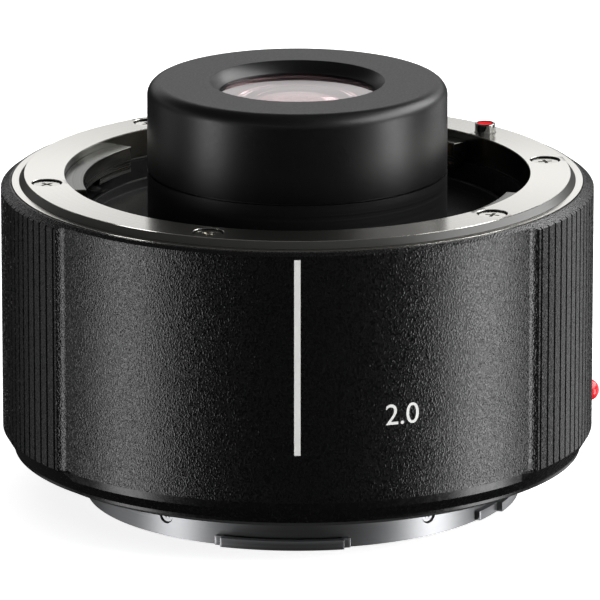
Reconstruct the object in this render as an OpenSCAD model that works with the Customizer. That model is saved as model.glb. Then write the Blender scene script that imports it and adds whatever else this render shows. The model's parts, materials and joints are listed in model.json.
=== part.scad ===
// Teleconverter for a camera with interchangeable lenses
// Millimetres. +Z points to the lens. The origin is the centre of the camera-side seat.

/* [Bayonet mount] */
// Diameter of the camera-side spigot
spigot_d = 51.7; // [50:0.1:55]
// Wall of the spigot
spigot_wall = 2.3; // [2:0.05:2.6]
// Depth of the spigot below the camera-side seat
spigot_depth = 5; // [4.6:0.05:5.4]
// Height of a claw above the spigot
claw_reach = 1.3; // [1.1:0.05:1.5]
// Height of the low steps at a claw's ends
claw_step = 0.65; // [0.4:0.05:0.9]
// Thickness of a claw
claw_t = 1.2; // [1:0.05:1.4]
// Height of the lens-side seat above the camera-side seat
seat_to_seat = 35; // [32:0.25:38]
// Width of the camera-side seat face outside the claws
seat_w = 5.8; // [5.4:0.05:6.2]
// Thickness of the camera-side flange
flange_t = 1.6; // [1.45:0.05:1.8]

/* [Lens-side ring] */
// Gap between a lens's claws and the wall of the throat
throat_room = 1.15; // [1:0.05:1.3]
// Depth of the throat down to its floor
throat_depth = 6.5; // [6.2:0.1:7.2]
// Width of the seat face
ring_face_w = 4.85; // [4.6:0.05:5.3]
// Depth of the ring below the seat face
ring_depth = 3.4; // [3.1:0.05:3.7]
// Height of the step from the seat face down to the ring's rim
ring_step_h = 0.85; // [0.6:0.05:1]
// Outward run of the step's sloping wall
ring_step_run = 0.6; // [0.3:0.05:0.7]
// Width of the ring's rim beside the step
ring_rim_w = 0.9; // [0.8:0.05:1]
// Thickness of the ring's rim
ring_rim_t = 1.15; // [0.9:0.05:1.4]
// Drop from the seat face to the claws
lens_claw_drop = 1; // [0.8:0.05:1.3]
// Distance of the ring screws from the wall of the throat
ring_screw_inset = 2.45; // [2.3:0.05:2.6]

/* [Outer barrel] */
// Width of the barrel's lip round the ring's rim
barrel_lip = 0.8; // [0.7:0.05:1]
// Height of the ribbed grips above the plain panels
grip_raise = 0.55; // [0.4:0.05:0.7]
// Wall of the barrel behind the plain panels
barrel_wall = 1.1; // [0.95:0.05:1.25]
// Height of the barrel's lower edge above the camera-side seat
barrel_bottom = 3.5; // [3.2:0.05:4]
// Width of the bevel at the barrel's upper edge
top_bevel_w = 1.05; // [0.8:0.05:1.15]
// Height of the bevel at the barrel's upper edge
top_bevel_h = 0.75; // [0.5:0.05:1]
// Half angle of the plain panels at the front and at the back
panel_half_angle = 51; // [44:1:60]
// Angle between neighbouring grip grooves
groove_pitch = 2.4; // [2.2:0.1:4]
// Width of a grip groove
groove_w = 0.5; // [0.3:0.05:0.7]
// Depth of a grip groove
groove_depth = 0.5; // [0.3:0.05:0.6]

/* [Index marks] */
// Width of the painted index line
line_w = 0.75; // [0.5:0.05:1.2]
// Depth of the painted index line
line_depth = 0.15; // [0.1:0.05:0.3]
// Height of the lower end of the index line
line_bottom = 9.4; // [7:0.2:14]
// Diameter of the index dome
dome_d = 2.74; // [2:0.02:3.2]
// Height of the index dome
dome_z = 6.1; // [5.5:0.1:9]
// Angle of the index dome
dome_angle = 7.5; // [0:0.5:14]

/* [Base ring] */
// Slope of the base ring's cone from the vertical
base_slope = 31; // [26:1:34]
// Height of the straight edge under the cone
base_edge_h = 0.35; // [0.2:0.05:0.5]
// Height of the base ring's lower face
base_bottom = 0.85; // [0.75:0.05:1]

/* [Nose] */
// Gap between the nose and the row of contacts behind it
nose_gap = 2.4; // [2.2:0.05:2.8]
// Height of the nose tip above the lens-side seat
nose_reach = 11.3; // [10.2:0.1:12.5]
// Wall of the nose
nose_wall = 1.3; // [1:0.05:1.6]
// Height of the joint between cap and sleeve above the lens-side seat
nose_joint = 0.45; // [0.2:0.05:1]
// Radius of the cap's rounded edge
cap_round = 1.65; // [1:0.05:2]
// Width of the cap's lip over the front glass
glass_lip = 1.35; // [1.2:0.05:1.5]
// Width of the bevel round the opening
opening_bevel = 1.15; // [0.8:0.05:1.5]
// Depth of the bevel round the opening
opening_depth = 1.3; // [1.1:0.05:1.5]

/* [Optics] */
// Radius of the front glass
front_lens_r = 10.8; // [9.8:0.05:11.8]
// Radius of the third group's rim
third_lens_r = 12.6; // [11.4:0.05:13.8]
// Radius of the rear group's rim
rear_lens_r = 14.6; // [14.2:0.05:15.6]
// Height of the lens barrel's lower end above the camera-side seat
optics_bottom = 5.6; // [5.1:0.05:6.1]
// Thickness of the shim under the lens barrel
shim_t = 0.2; // [0.1:0.05:0.4]

/* [Lens lock] */
// Angle of the lock pin
pin_angle = 40; // [36:0.5:44]
// Diameter of the lock pin
pin_d = 2.56; // [2.3:0.02:2.8]
// Distance of the lock pin from the wall of the throat
pin_inset = 2; // [1.8:0.05:2.2]
// Height of the lock pin above the seat face
pin_proud = 1.2; // [0.9:0.05:1.35]
// Travel of the lock pin and its lever
pin_travel = 1.4; // [1.3:0.05:1.6]
// Coils of the lock spring
spring_coils = 6; // [4:1:7]
// Wire diameter of the lock spring
spring_wire = 0.36; // [0.3:0.02:0.4]
// Height of the lever's thumb piece
lever_h = 8.2; // [7.4:0.1:9]
// Height of the thumb piece above the grips
lever_proud = 1.9; // [1.4:0.1:2.4]

/* [Contacts] */
// Number of contacts in each block
contact_count = 10; // [6:1:11]
// Angle between neighbouring contacts
contact_pitch = 5; // [4.6:0.1:5.4]
// Diameter of a contact pin
contact_d = 0.8; // [0.6:0.05:0.9]
// Height of the contact pins above their block
contact_proud = 0.9; // [0.75:0.05:1.1]
// Travel of the contact pins
contact_travel = 0.7; // [0.5:0.05:0.75]

/* [Fits] */
// Radial clearance of a sliding pin in its guide
pin_fit = 0.06; // [0.04:0.01:0.09]
// Radial clearance of a screw in its hole
screw_fit = 0.05; // [0.03:0.01:0.09]
// Radial clearance of a lens or ring in its bore
lens_fit = 0.03; // [0.02:0.01:0.06]
// Clearance between parts that are pushed together
push_fit = 0.1; // [0.06:0.01:0.14]
// Gap between the lever and what it slides along
slide_gap = 0.25; // [0.2:0.01:0.3]

/* [Hidden] */
$fn = 128;
// Length by which a cut runs past what it cuts
over = 1;
// Depth by which joined shapes of one solid reach into each other
join = 0.05;

// Radii, from the spigot outwards and then inwards
spigot_r = spigot_d / 2;
spigot_bore_r = spigot_r - spigot_wall;
claw_r = spigot_r + claw_reach;
claw_step_r = spigot_r + claw_step;
flange_r = claw_r + seat_w;
throat_r = claw_r + throat_room;
ring_r = throat_r + ring_face_w;
ring_step_r = ring_r + ring_step_run;
ring_rim_r = ring_step_r + ring_rim_w;
panel_r = ring_rim_r + barrel_lip;
barrel_r = panel_r + grip_raise;
barrel_bore_r = panel_r - barrel_wall;
pin_r = pin_d / 2;
pin_circle_r = throat_r + pin_inset;
ring_screw_r = throat_r + ring_screw_inset;
contact_circle_r = spigot_bore_r - 2.95;
nose_r = contact_circle_r - nose_gap;
nose_bore_r = nose_r - nose_wall;

// Heights at the lens side
seat_z = seat_to_seat;
nose_tip = seat_z + nose_reach;
nose_joint_z = seat_z + nose_joint;
ring_rim_top = seat_z - ring_step_h;
ring_rim_bottom = ring_rim_top - ring_rim_t;
ring_bottom = seat_z - ring_depth;
barrel_top_drop = 0.1;
barrel_top = ring_rim_top - barrel_top_drop;
leaf_t = 0.3;
frame_top = ring_bottom - leaf_t;
floor_top = seat_z - throat_depth;
floor_t = 0.8;
frame_plate_top = floor_top - floor_t;
frame_plate_t = 2;
frame_plate_bottom = frame_plate_top - frame_plate_t;

// Small edges
edge = 0.25;
seam = 0.12;
dome_foot_r = dome_d / 2 - 0.35;

// Camera-side flange, seal and base ring
seal_bottom = 0.55;
flange_lip = 0.35;
camera_pin_hole_r = pin_r + 0.07;
flange_neck_r = pin_circle_r + camera_pin_hole_r + 0.15;
seal_in_r = flange_neck_r + 0.7;
// Width beyond the claws, and depth, of the relief between the spigot and the seat face
seat_relief = 0.15;

// Frame
frame_wall = 2;
frame_bore_r = spigot_r - 0.45;
frame_r = barrel_bore_r - push_fit;
frame_rim_bore_r = throat_r - 0.4;
frame_foot_t = 2.6;
frame_foot_top = flange_t + frame_foot_t;
frame_foot_r = flange_r - 0.2;
frame_foot_bore_r = spigot_bore_r + 0.45;
shelf_t = 2;
shelf_w = 4.9;
shelf_top = frame_plate_bottom - 1.7;
shelf_bore_r = frame_bore_r - shelf_w;
board_shelf_bottom = 10.2;
board_shelf_t = 1.4;
board_shelf_w = 2.8;
board_shelf_bore_r = frame_bore_r - board_shelf_w;

// Screws, each as head radius, head height, shank radius and length
screw_bite = 2;
ring_screw = [1.7, 1.1, 1, ring_depth + leaf_t + screw_bite];
flange_screw = [1.5, 0.7, 0.9, flange_t + screw_bite];
optics_screw = [1.3, 0.8, 0.8, 3.8];
small_screw = [0.75, 0.5, 0.45, 2.2];
baffle_screw = [0.9, 0.6, 0.5, spigot_wall + 0.9];
lever_screw_size = [1.1, 0.6, 0.6, 2.4];
head_sink = 0.15;
head_room = 0.15;
ring_screw_angles = [10.5, 68, 127, 190.5, 250, 319];
flange_screw_angles = [for (i = [0:5]) 20 + 60 * i];
inner_screw_angles = [30, 150, 270];
baffle_screw_angles = [52.4, 127.6, 232.4, 307.6];
baffle_screw_z = -2.4;
flange_screw_r = claw_r + 2.05;
optics_screw_r = frame_bore_r - 2.8;
floor_screw_r = frame_bore_r + 1.5;
board_screw_r = frame_bore_r - 1.6;

// Bayonets: each camera-side claw as the angles of its low and high ends
camera_claws = [[-33.6, -23.6, 2.4, 4.4], [60, 62, 94, 96], [150, 152, 184, 186], [248, 250, 282, 284]];
mount_turn = 35.7;
entry_half_angle = 21;
camera_pin_angle = 335;

// Lens lock
plate_t = 0.6;
plate_gap = 0.15;
plate_top = frame_plate_bottom - plate_gap;
plate_half_w = 2.5;
collar_top = plate_top - plate_t - 0.05;
collar_t = 0.8;
collar_r = pin_r + 0.92;
spring_h = 6;
lug_top = collar_top - collar_t - spring_h;
lug_t = 1.6;
lug_half_w = 2.6;
lug_reach_r = pin_circle_r + 2.9;
stem_r = pin_r - 0.43;
stem_bottom = lug_top - lug_t - 1;
dot_r = pin_r - 0.28;
dot_depth = 0.25;
plate_leg_r = barrel_bore_r - 0.4;
lever_stem_h = 3;
lever_stem_half_w = 2.2;
lever_stem_bottom = plate_top - plate_t - lever_stem_h - 1.2;
lever_stem_middle = lever_stem_bottom + lever_stem_h / 2;
lever_middle = lever_stem_middle - pin_travel / 2;
lever_half_angle = 7.5;
lever_ridge = 0.4;

// Contacts
contact_middle = 90;
block_half_angle = (contact_count / 2 + 0.6) * contact_pitch;
block_in_r = contact_circle_r - 1.5;
block_out_r = contact_circle_r + 1.5;
block_ledge = 0.5;
block_ledge_t = 0.4;
block_top = floor_top + 1.2;
floor_rim_r = frame_bore_r + 0.1;
floor_rim_w = 0.6;
floor_rim_h = 1.2;
contact_r = contact_d / 2;
contact_collar_r = contact_r + 0.2;
contact_collar_t = 0.5;
contact_shoulder = block_top - 0.5;
contact_collar_top = contact_shoulder - 0.05;
contact_collar_bottom = contact_collar_top - contact_collar_t;
// Height of a contact spring that is pressed right down
contact_spring_solid = 1.45;
block_bottom = contact_collar_bottom - contact_travel - contact_spring_solid;

// Rear baffle and rear contacts
baffle_r = spigot_bore_r - push_fit;
baffle_wall = 1.4;
baffle_floor_t = 0.9;
baffle_bottom = -spigot_depth + 0.5;
baffle_floor_top = baffle_bottom + baffle_floor_t;
mask_w = 31;
mask_h = 22;
rear_block_in_r = contact_circle_r - 1.8;
rear_block_out_r = baffle_r - baffle_wall - push_fit;
rear_block_bottom = baffle_bottom - 0.25;
rear_block_top = baffle_floor_top + 0.8;
pad_t = 0.15;
pad_w = 0.9;
pad_l = 1.6;

// Optics, from the nose tip down and from the camera side up
cement_gap = 0.03;
rest_gap = 0.02;
// Flat land left round a hollow lens face; the lens cemented into the hollow is smaller by it
hollow_land = 0.4;
opening_inner_r = front_lens_r - glass_lip;
opening_r = opening_inner_r + opening_bevel;
lip_bottom = nose_tip - opening_depth - 0.7;
second_lens_r = front_lens_r - 0.5;
lens_1_t = 4.6;
lens_2_t = 0.8;
lens_3_t = 0.8;
lens_4_t = 5;
lens_5_t = 5;
lens_6_t = 0.9;
lens_7_t = 5.6;
lens_8_t = 0.9;
front_air = 3;
rear_air = 2.4;
lens_1_rim = lip_bottom - 0.3;
lens_2_rim = lens_1_rim - lens_1_t;
lens_2_back = lens_2_rim - lens_2_t;
lens_3_rim = lens_2_back - front_air;
lens_4_rim = lens_3_rim - lens_3_t;
stop_top = lens_4_rim - lens_4_t;
stop_t = 0.3;
stop_r = second_lens_r - 2.3;
lock_ring_t = 1.5;
lens_8_back = optics_bottom + lock_ring_t + 0.4;
lens_8_rim = lens_8_back + lens_8_t;
lens_7_rim = lens_8_rim + lens_7_t;
lens_6_back = lens_7_rim + rear_air;
lens_6_rim = lens_6_back + lens_6_t;
lens_5_rim = lens_6_rim + lens_5_t;
// Ball radii of the lens faces, front to back through the four cemented pairs
ball_1 = 55;
ball_1_2 = 16;
ball_2 = 80;
ball_3 = 40;
ball_3_4 = 22;
ball_4 = 40;
ball_5 = 80;
ball_5_6 = 28;
ball_6 = 50;
ball_7 = 60;
ball_7_8 = 40;
ball_8 = 70;
mid_bore_r = second_lens_r - 0.9;
cell_wall = 2.2;
cell_r = front_lens_r + cell_wall;
rear_cell_wall = 2.4;
rear_cell_r = rear_lens_r + rear_cell_wall;
lock_ring_r = rear_lens_r + 0.5;
lens_2_r = front_lens_r - hollow_land;
lens_3_r = second_lens_r - hollow_land;
lens_6_r = third_lens_r - hollow_land;
lens_8_r = rear_lens_r - hollow_land;
spacer_wall = 1.1;
optics_flange_r = frame_bore_r - 0.5;
optics_flange_t = 1.4;
optics_flange_bottom = shelf_top + shim_t;
optics_flange_top = optics_flange_bottom + optics_flange_t;
cell_seat_depth = 0.9;
cell_seat_z = optics_flange_top - cell_seat_depth;

// Electronics
board_t = 1;
board_bottom = board_shelf_bottom - board_t;
board_in_r = rear_cell_r + 0.8;
board_out_r = frame_bore_r - 0.4;
chip_t = 0.9;
flex_t = 0.2;
flex_half_w = 4;
flex_room = 0.25;
front_flex_y = frame_bore_r - 1.5;
rear_flex_y = rear_block_out_r - 0.75;

// Helpers

// Ring sector between two radii, two heights and two angles
module sector(r_in, r_out, z0, z1, a0, a1)
  rotate([0, 0, a0])
    rotate_extrude(angle = a1 - a0)
      translate([r_in, z0]) square([r_out - r_in, z1 - z0]);

// Full ring between two radii and two heights
module ring(r_in, r_out, z0, z1)
  rotate_extrude() translate([r_in, z0]) square([r_out - r_in, z1 - z0]);

// Round bar on the axis between two heights
module bar(r, z0, z1)
  translate([0, 0, z0]) cylinder(r = r, h = z1 - z0);

// Box between two corners
module box(low, high)
  translate(low) cube(high - low);

module at_angle(angle, r, z = 0)
  rotate([0, 0, angle]) translate([r, 0, z]) children();

// Screw with a cross recess; the top of its head is at z = 0
module screw(size) {
  head_r = size[0];
  head_h = size[1];
  recess_reach = head_r * 0.62;
  recess_half_w = head_r * 0.14;
  difference() {
    union() {
      bar(head_r, -head_h, 0);
      bar(size[2], -size[3], -head_h + join);
    }
    for (turn = [0, 90])
      rotate([0, 0, turn])
        box([-recess_reach, -recess_half_w, -head_h * 0.6], [recess_reach, recess_half_w, over]);
  }
}

// Hole for a screw's shank
module shank_hole(size)
  bar(size[2] + screw_fit, -size[3] - 0.3, over);

// Hole for a screw's shank, with a counterbore for its head
module screw_hole(size) {
  shank_hole(size);
  bar(size[0] + head_room, -size[1], over);
}

// Depth of a ball-shaped face at a rim radius
function sag(ball_r, rim_r) = ball_r - sqrt(ball_r * ball_r - rim_r * rim_r);

// Rise of a ball-shaped face from its rim to a smaller radius
function rise(ball_r, rim_r, inner_r) = sag(ball_r, rim_r) - sag(ball_r, inner_r);

// Lens with its rim between two heights; a positive ball bulges and a negative one is hollow
module lens(rim_r, front, back, front_ball, back_ball) {
  front_sag = sag(abs(front_ball), front_ball > 0 ? rim_r : rim_r - hollow_land);
  back_sag = sag(abs(back_ball), back_ball > 0 ? rim_r : rim_r - hollow_land);
  front_tip = front + front_sag;
  back_tip = back - back_sag;
  difference() {
    intersection() {
      bar(rim_r, back_ball > 0 ? back_tip - over : back, front_ball > 0 ? front_tip + over : front);
      if (front_ball > 0) translate([0, 0, front_tip - front_ball]) sphere(front_ball);
      if (back_ball > 0) translate([0, 0, back_tip + back_ball]) sphere(back_ball);
    }
    if (front_ball < 0) translate([0, 0, front - front_sag - front_ball]) sphere(-front_ball);
    if (back_ball < 0) translate([0, 0, back + back_sag + back_ball]) sphere(-back_ball);
  }
}

// Outer barrel

// Wedge of one ribbed grip, with sloping ends down to the plain panels
module grip_wedge() {
  end_angle = 90 - panel_half_angle;
  ramp_angle = 1.7;
  far = barrel_r * 2;
  foot = panel_r * [cos(end_angle + ramp_angle), sin(end_angle + ramp_angle)];
  top = barrel_r * [cos(end_angle), sin(end_angle)];
  outer = top + 3 * (top - foot);
  inner = foot - 2 * (top - foot);
  polygon([inner, outer, [far, outer.y], [far, -outer.y], [outer.x, -outer.y], [inner.x, -inner.y]]);
}

// Outline of the barrel seen along the axis: round panels and two raised grips
module barrel_outline() {
  circle(r = panel_r);
  for (side = [0, 180])
    rotate([0, 0, side])
      intersection() {
        circle(r = barrel_r);
        grip_wedge();
      }
}

module grip_grooves() {
  count = floor((90 - panel_half_angle) / groove_pitch);
  for (side = [0, 180], i = [-count:count])
    at_angle(side + i * groove_pitch, barrel_r - groove_depth)
      box([0, -groove_w / 2, 0], [groove_depth + over, groove_w / 2, barrel_top + over]);
}

// Space of the index line, out to a given radius
module index_space(r_out) {
  half_angle = line_w / 2 / panel_r * 180 / PI;
  sector(panel_r - line_depth, r_out, line_bottom, barrel_top - top_bevel_h, -90 - half_angle, half_angle - 90);
}

module lever_slot() {
  half_w = lever_stem_half_w + slide_gap;
  rotate([0, 0, pin_angle])
    box([barrel_bore_r - over, -half_w, lever_stem_bottom - pin_travel - slide_gap],
      [barrel_r + over, half_w, lever_stem_bottom + lever_stem_h + slide_gap]);
}

module gasket_groove(fit)
  ring(ring_r + 0.5 + fit, ring_step_r + 0.5 - fit, ring_rim_bottom - 0.4, ring_rim_bottom + over);

module outer_barrel() color("#1d1d1e")
  difference() {
    intersection() {
      translate([0, 0, barrel_bottom]) linear_extrude(barrel_top - barrel_bottom) barrel_outline();
      rotate_extrude() polygon([
        [0, 0], [barrel_r + over, 0], [barrel_r + over, barrel_top - top_bevel_h],
        [barrel_r, barrel_top - top_bevel_h], [barrel_r - top_bevel_w, barrel_top], [0, barrel_top]
      ]);
    }
    bar(barrel_bore_r, 0, frame_top);
    bar(ring_r + push_fit, 0, barrel_top + over);
    bar(ring_rim_r + push_fit, ring_rim_bottom, barrel_top + over);
    gasket_groove(0);
    grip_grooves();
    index_space(barrel_r);
    at_angle(dome_angle, barrel_bore_r - over, dome_z)
      rotate([0, 90, 0]) cylinder(r = dome_foot_r + push_fit, h = barrel_r);
    lever_slot();
  }

module index_line() color("white")
  index_space(panel_r);

// Half ball on a foot that is pushed into the barrel
module index_dome() color("#d5202a")
  at_angle(dome_angle, barrel_r, dome_z)
    rotate([0, 90, 0])
      rotate_extrude() {
        intersection() {
          circle(d = dome_d);
          translate([0, rest_gap]) square(dome_d);
        }
        translate([0, barrel_bore_r + push_fit - barrel_r])
          square([dome_foot_r, barrel_r - barrel_bore_r]);
      }

module ring_gasket() color("#151515")
  intersection() {
    gasket_groove(join);
    bar(ring_rim_r, 0, ring_rim_bottom);
  }

// Base ring and seal

module base_ring() color("#141415") {
  spigot_top = barrel_bottom + 2;
  edge_top = base_bottom + base_edge_h;
  foot_r = barrel_r - (barrel_bottom - edge_top) * tan(base_slope);
  difference() {
    union() {
      intersection() {
        translate([0, 0, base_bottom]) linear_extrude(barrel_bottom - base_bottom) barrel_outline();
        rotate_extrude() polygon([
          [0, base_bottom], [foot_r, base_bottom], [foot_r, edge_top],
          [barrel_r, barrel_bottom], [0, barrel_bottom]
        ]);
      }
      bar(barrel_bore_r - push_fit, barrel_bottom - join, spigot_top);
    }
    bar(frame_foot_r + push_fit, flange_t, spigot_top + over);
    bar(flange_neck_r + push_fit, 0, spigot_top + over);
  }
}

module mount_seal() color("#0c0c0c")
  ring(seal_in_r + join, flange_r + flange_lip - 0.1, seal_bottom, base_bottom);

// Lens-side ring

// Middle angle of the gap through which a lens claw enters
function entry_angle(i) = (camera_claws[i][0] + camera_claws[i][3]) / 2 + mount_turn;
// Angle from one entry gap to the next
function entry_step(i) = (entry_angle((i + 1) % len(camera_claws)) - entry_angle(i) + 360) % 360;

module lens_claws()
  for (i = [0:len(camera_claws) - 1])
    sector(spigot_r + push_fit, throat_r + join, ring_bottom, seat_z - lens_claw_drop,
      entry_angle(i) + entry_half_angle, entry_angle(i) + entry_step(i) - entry_half_angle);

module lens_ring() color("#cfcdc9")
  difference() {
    union() {
      rotate_extrude() polygon([
        [throat_r, ring_bottom], [ring_r, ring_bottom], [ring_r, ring_rim_bottom],
        [ring_rim_r, ring_rim_bottom], [ring_rim_r, ring_rim_top], [ring_step_r, ring_rim_top],
        [ring_r + join, seat_z - edge], [ring_r - edge, seat_z], [throat_r + edge, seat_z],
        [throat_r, seat_z - edge]
      ]);
      lens_claws();
    }
    at_ring_screws() screw_hole(ring_screw);
    at_angle(pin_angle, pin_circle_r) bar(pin_r + pin_fit, 0, seat_z + over);
  }

module at_ring_screws()
  for (angle = ring_screw_angles)
    at_angle(angle, ring_screw_r, seat_z - head_sink) children();

module lens_ring_screws() color("#b9b8b5")
  at_ring_screws() screw(ring_screw);

// Leaf ring that draws the lens onto its seat, with an arm behind each claw
module bayonet_spring() color("#a9a7a0") {
  arm_half_angle = 13;
  difference() {
    union() {
      ring(throat_r + 0.3, ring_r - 0.3, frame_top, ring_bottom);
      for (i = [0:len(camera_claws) - 1]) {
        middle = entry_angle(i) + entry_step(i) / 2;
        sector(spigot_r + 0.6, throat_r + 0.3 + join, frame_top, ring_bottom,
          middle - arm_half_angle, middle + arm_half_angle);
      }
    }
    at_ring_screws() shank_hole(ring_screw);
    at_angle(pin_angle, pin_circle_r) bar(pin_r + 2 * pin_fit, 0, seat_z);
  }
}

// Camera-side bayonet

module camera_claw(ends) {
  bottom = -spigot_depth + push_fit;
  sector(spigot_r - 2 * edge, claw_step_r, bottom, bottom + claw_t, ends[0], ends[3]);
  sector(spigot_r, claw_r, bottom, bottom + claw_t, ends[1], ends[2]);
}

module at_baffle_screws()
  for (angle = baffle_screw_angles)
    at_angle(angle, spigot_r - push_fit, baffle_screw_z) rotate([0, 90, 0]) children();

module at_flange_screws()
  for (angle = flange_screw_angles)
    at_angle(angle, flange_screw_r, head_sink) mirror([0, 0, 1]) children();

module camera_bayonet() color("#c4c6c9")
  difference() {
    union() {
      rotate_extrude() polygon([
        [spigot_bore_r, -spigot_depth], [spigot_r - edge, -spigot_depth], [spigot_r, edge - spigot_depth],
        [spigot_r, seat_relief], [claw_r + seat_relief, seat_relief], [claw_r + seat_relief, 0],
        [flange_r, 0], [flange_r + flange_lip, seal_bottom], [seal_in_r, seal_bottom],
        [seal_in_r, base_bottom], [flange_neck_r, base_bottom], [flange_neck_r, flange_t],
        [spigot_bore_r, flange_t]
      ]);
      for (ends = camera_claws) camera_claw(ends);
    }
    at_flange_screws() screw_hole(flange_screw);
    at_baffle_screws() screw_hole(baffle_screw);
    at_angle(camera_pin_angle, pin_circle_r) bar(camera_pin_hole_r, -over, flange_t + over);
  }

module camera_bayonet_screws() color("#b4b5b8")
  at_flange_screws() screw(flange_screw);

// Rear baffle and rear contacts

module rear_baffle() color("#161616")
  difference() {
    union() {
      ring(baffle_r - baffle_wall, baffle_r, baffle_bottom, flange_t);
      bar(baffle_r - join, baffle_bottom, baffle_floor_top);
    }
    box([-mask_w / 2, -mask_h / 2, baffle_bottom - over], [mask_w / 2, mask_h / 2, baffle_floor_top + over]);
    rear_block_window(push_fit);
    at_baffle_screws() shank_hole(baffle_screw);
  }

module rear_block_window(fit) {
  turn = block_half_angle;
  fit_turn = fit / rear_block_in_r * 180 / PI;
  sector(rear_block_in_r - fit, rear_block_out_r - block_ledge + fit, rear_block_bottom, baffle_floor_top + join,
    contact_middle - turn - fit_turn, contact_middle + turn + fit_turn);
}

module rear_baffle_screws() color("#8c8d90")
  at_baffle_screws() screw(baffle_screw);

module rear_contact_block() color("#202022") {
  turn = block_half_angle + 2;
  rear_block_window(0);
  sector(rear_block_in_r - block_ledge, rear_block_out_r, baffle_floor_top, rear_block_top,
    contact_middle - turn, contact_middle + turn);
}

// Angles of the contacts in a block
function contact_angles() =
  [for (i = [0:contact_count - 1]) contact_middle + (i - (contact_count - 1) / 2) * contact_pitch];

module rear_contacts() color("#d8b256")
  for (angle = contact_angles())
    at_angle(angle, contact_circle_r, rear_block_bottom - pad_t)
      box([-pad_l / 2, -pad_w / 2, 0], [pad_l / 2, pad_w / 2, pad_t]);

// Frame and throat

// Room for the front lead, out to a given distance from the axis
module front_flex_slot(y_out)
  box([-flex_half_w - flex_room, front_flex_y - flex_room, board_shelf_bottom + board_shelf_t],
    [flex_half_w + flex_room, y_out, floor_top]);

module main_frame() color("#2b2b2d")
  difference() {
    union() {
      ring(frame_rim_bore_r, frame_r, frame_plate_top - join, frame_top);
      ring(frame_bore_r, frame_r, frame_plate_bottom, frame_plate_top);
      ring(frame_bore_r, frame_bore_r + frame_wall, frame_foot_top - join, frame_plate_bottom + join);
      ring(frame_foot_bore_r, frame_foot_r, flange_t, frame_foot_top);
      ring(shelf_bore_r, frame_bore_r + join, shelf_top - shelf_t, shelf_top);
      ring(board_shelf_bore_r, frame_bore_r + join, board_shelf_bottom, board_shelf_bottom + board_shelf_t);
      rotate([0, 0, pin_angle])
        box([frame_bore_r + join + frame_wall / 2, -lug_half_w, lug_top - lug_t],
          [lug_reach_r, lug_half_w, lug_top]);
    }
    at_ring_screws() shank_hole(ring_screw);
    at_flange_screws() shank_hole(flange_screw);
    at_optics_screws() shank_hole(optics_screw);
    at_floor_screws() shank_hole(small_screw);
    at_board_screws() shank_hole(small_screw);
    at_angle(pin_angle, pin_circle_r) {
      bar(pin_r + pin_fit, frame_plate_bottom - over, seat_z);
      bar(stem_r + pin_fit, stem_bottom, frame_plate_bottom);
    }
    front_flex_slot(front_flex_y + flex_t + flex_room);
    box([-flex_half_w - over, board_shelf_bore_r - over, board_shelf_bottom - over],
      [flex_half_w + over, front_flex_y + flex_t + flex_room, board_shelf_bottom + board_shelf_t + over]);
  }

module at_floor_screws()
  for (angle = inner_screw_angles)
    at_angle(angle, floor_screw_r, floor_top + small_screw[1]) children();

module throat_floor() color("#1a1a1b")
  difference() {
    union() {
      ring(nose_r + 2 * push_fit, frame_rim_bore_r - push_fit, frame_plate_top, floor_top);
      ring(floor_rim_r, floor_rim_r + floor_rim_w, floor_top - join, floor_top + floor_rim_h);
    }
    at_floor_screws() shank_hole(small_screw);
    front_block_body(push_fit);
  }

module throat_floor_screws() color("#2a2a2a")
  at_floor_screws() screw(small_screw);

// Front contacts

module at_contacts()
  for (angle = contact_angles())
    at_angle(angle, contact_circle_r) children();

// Body of the block, and with a fit the window for it in the throat floor
module front_block_body(fit) {
  turn = block_half_angle + fit / block_in_r * 180 / PI;
  sector(block_in_r - fit, block_out_r + fit, block_bottom, block_top, contact_middle - turn, contact_middle + turn);
}

module front_contact_block() color("#222224") {
  ledge_turn = block_half_angle + 2;
  difference() {
    union() {
      front_block_body(0);
      sector(block_in_r - block_ledge, block_out_r + block_ledge, floor_top, floor_top + block_ledge_t,
        contact_middle - ledge_turn, contact_middle + ledge_turn);
    }
    at_contacts() {
      bar(contact_r + pin_fit, block_bottom - over, block_top + over);
      bar(contact_collar_r + pin_fit, block_bottom - over, contact_shoulder);
    }
  }
}

module contact_pins() color("#e0bb5e")
  at_contacts() {
    bar(contact_r, contact_collar_bottom, block_top + contact_proud);
    bar(contact_collar_r, contact_collar_bottom, contact_collar_top);
  }

module contact_springs() color("#c9b27a")
  at_contacts() ring(contact_r * 0.6, contact_collar_r - join, block_bottom, contact_collar_bottom - rest_gap);

// Nose

module nose_cap() color("#4c4c4d") {
  front_wall_bottom = lip_bottom - 1.8;
  rotate_extrude()
    difference() {
      union() {
        translate([0, nose_joint_z]) square([nose_r, nose_tip - cap_round - nose_joint_z]);
        translate([0, nose_joint_z]) square([nose_r - cap_round, nose_tip - nose_joint_z]);
        translate([nose_r - cap_round, nose_tip - cap_round]) circle(r = cap_round);
      }
      translate([0, nose_joint_z - over]) square([nose_bore_r, front_wall_bottom - nose_joint_z + over]);
      translate([0, nose_joint_z - over]) square([cell_r + push_fit, lip_bottom - nose_joint_z + over]);
      polygon([
        [0, lip_bottom - over], [opening_inner_r, lip_bottom - over], [opening_inner_r, nose_tip - opening_depth],
        [opening_r, nose_tip], [opening_r, nose_tip + over], [0, nose_tip + over]
      ]);
      polygon([
        [nose_r - seam, nose_joint_z], [nose_r, nose_joint_z + seam], [nose_r + over, nose_joint_z + seam],
        [nose_r + over, nose_joint_z - over], [nose_r - seam, nose_joint_z - over]
      ]);
    }
}

module nose_sleeve() color("#1b1b1c")
  rotate_extrude() polygon([
    [nose_bore_r, optics_flange_top], [nose_r, optics_flange_top], [nose_r, nose_joint_z - seam],
    [nose_r - seam, nose_joint_z], [nose_bore_r, nose_joint_z]
  ]);

// Optics

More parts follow.
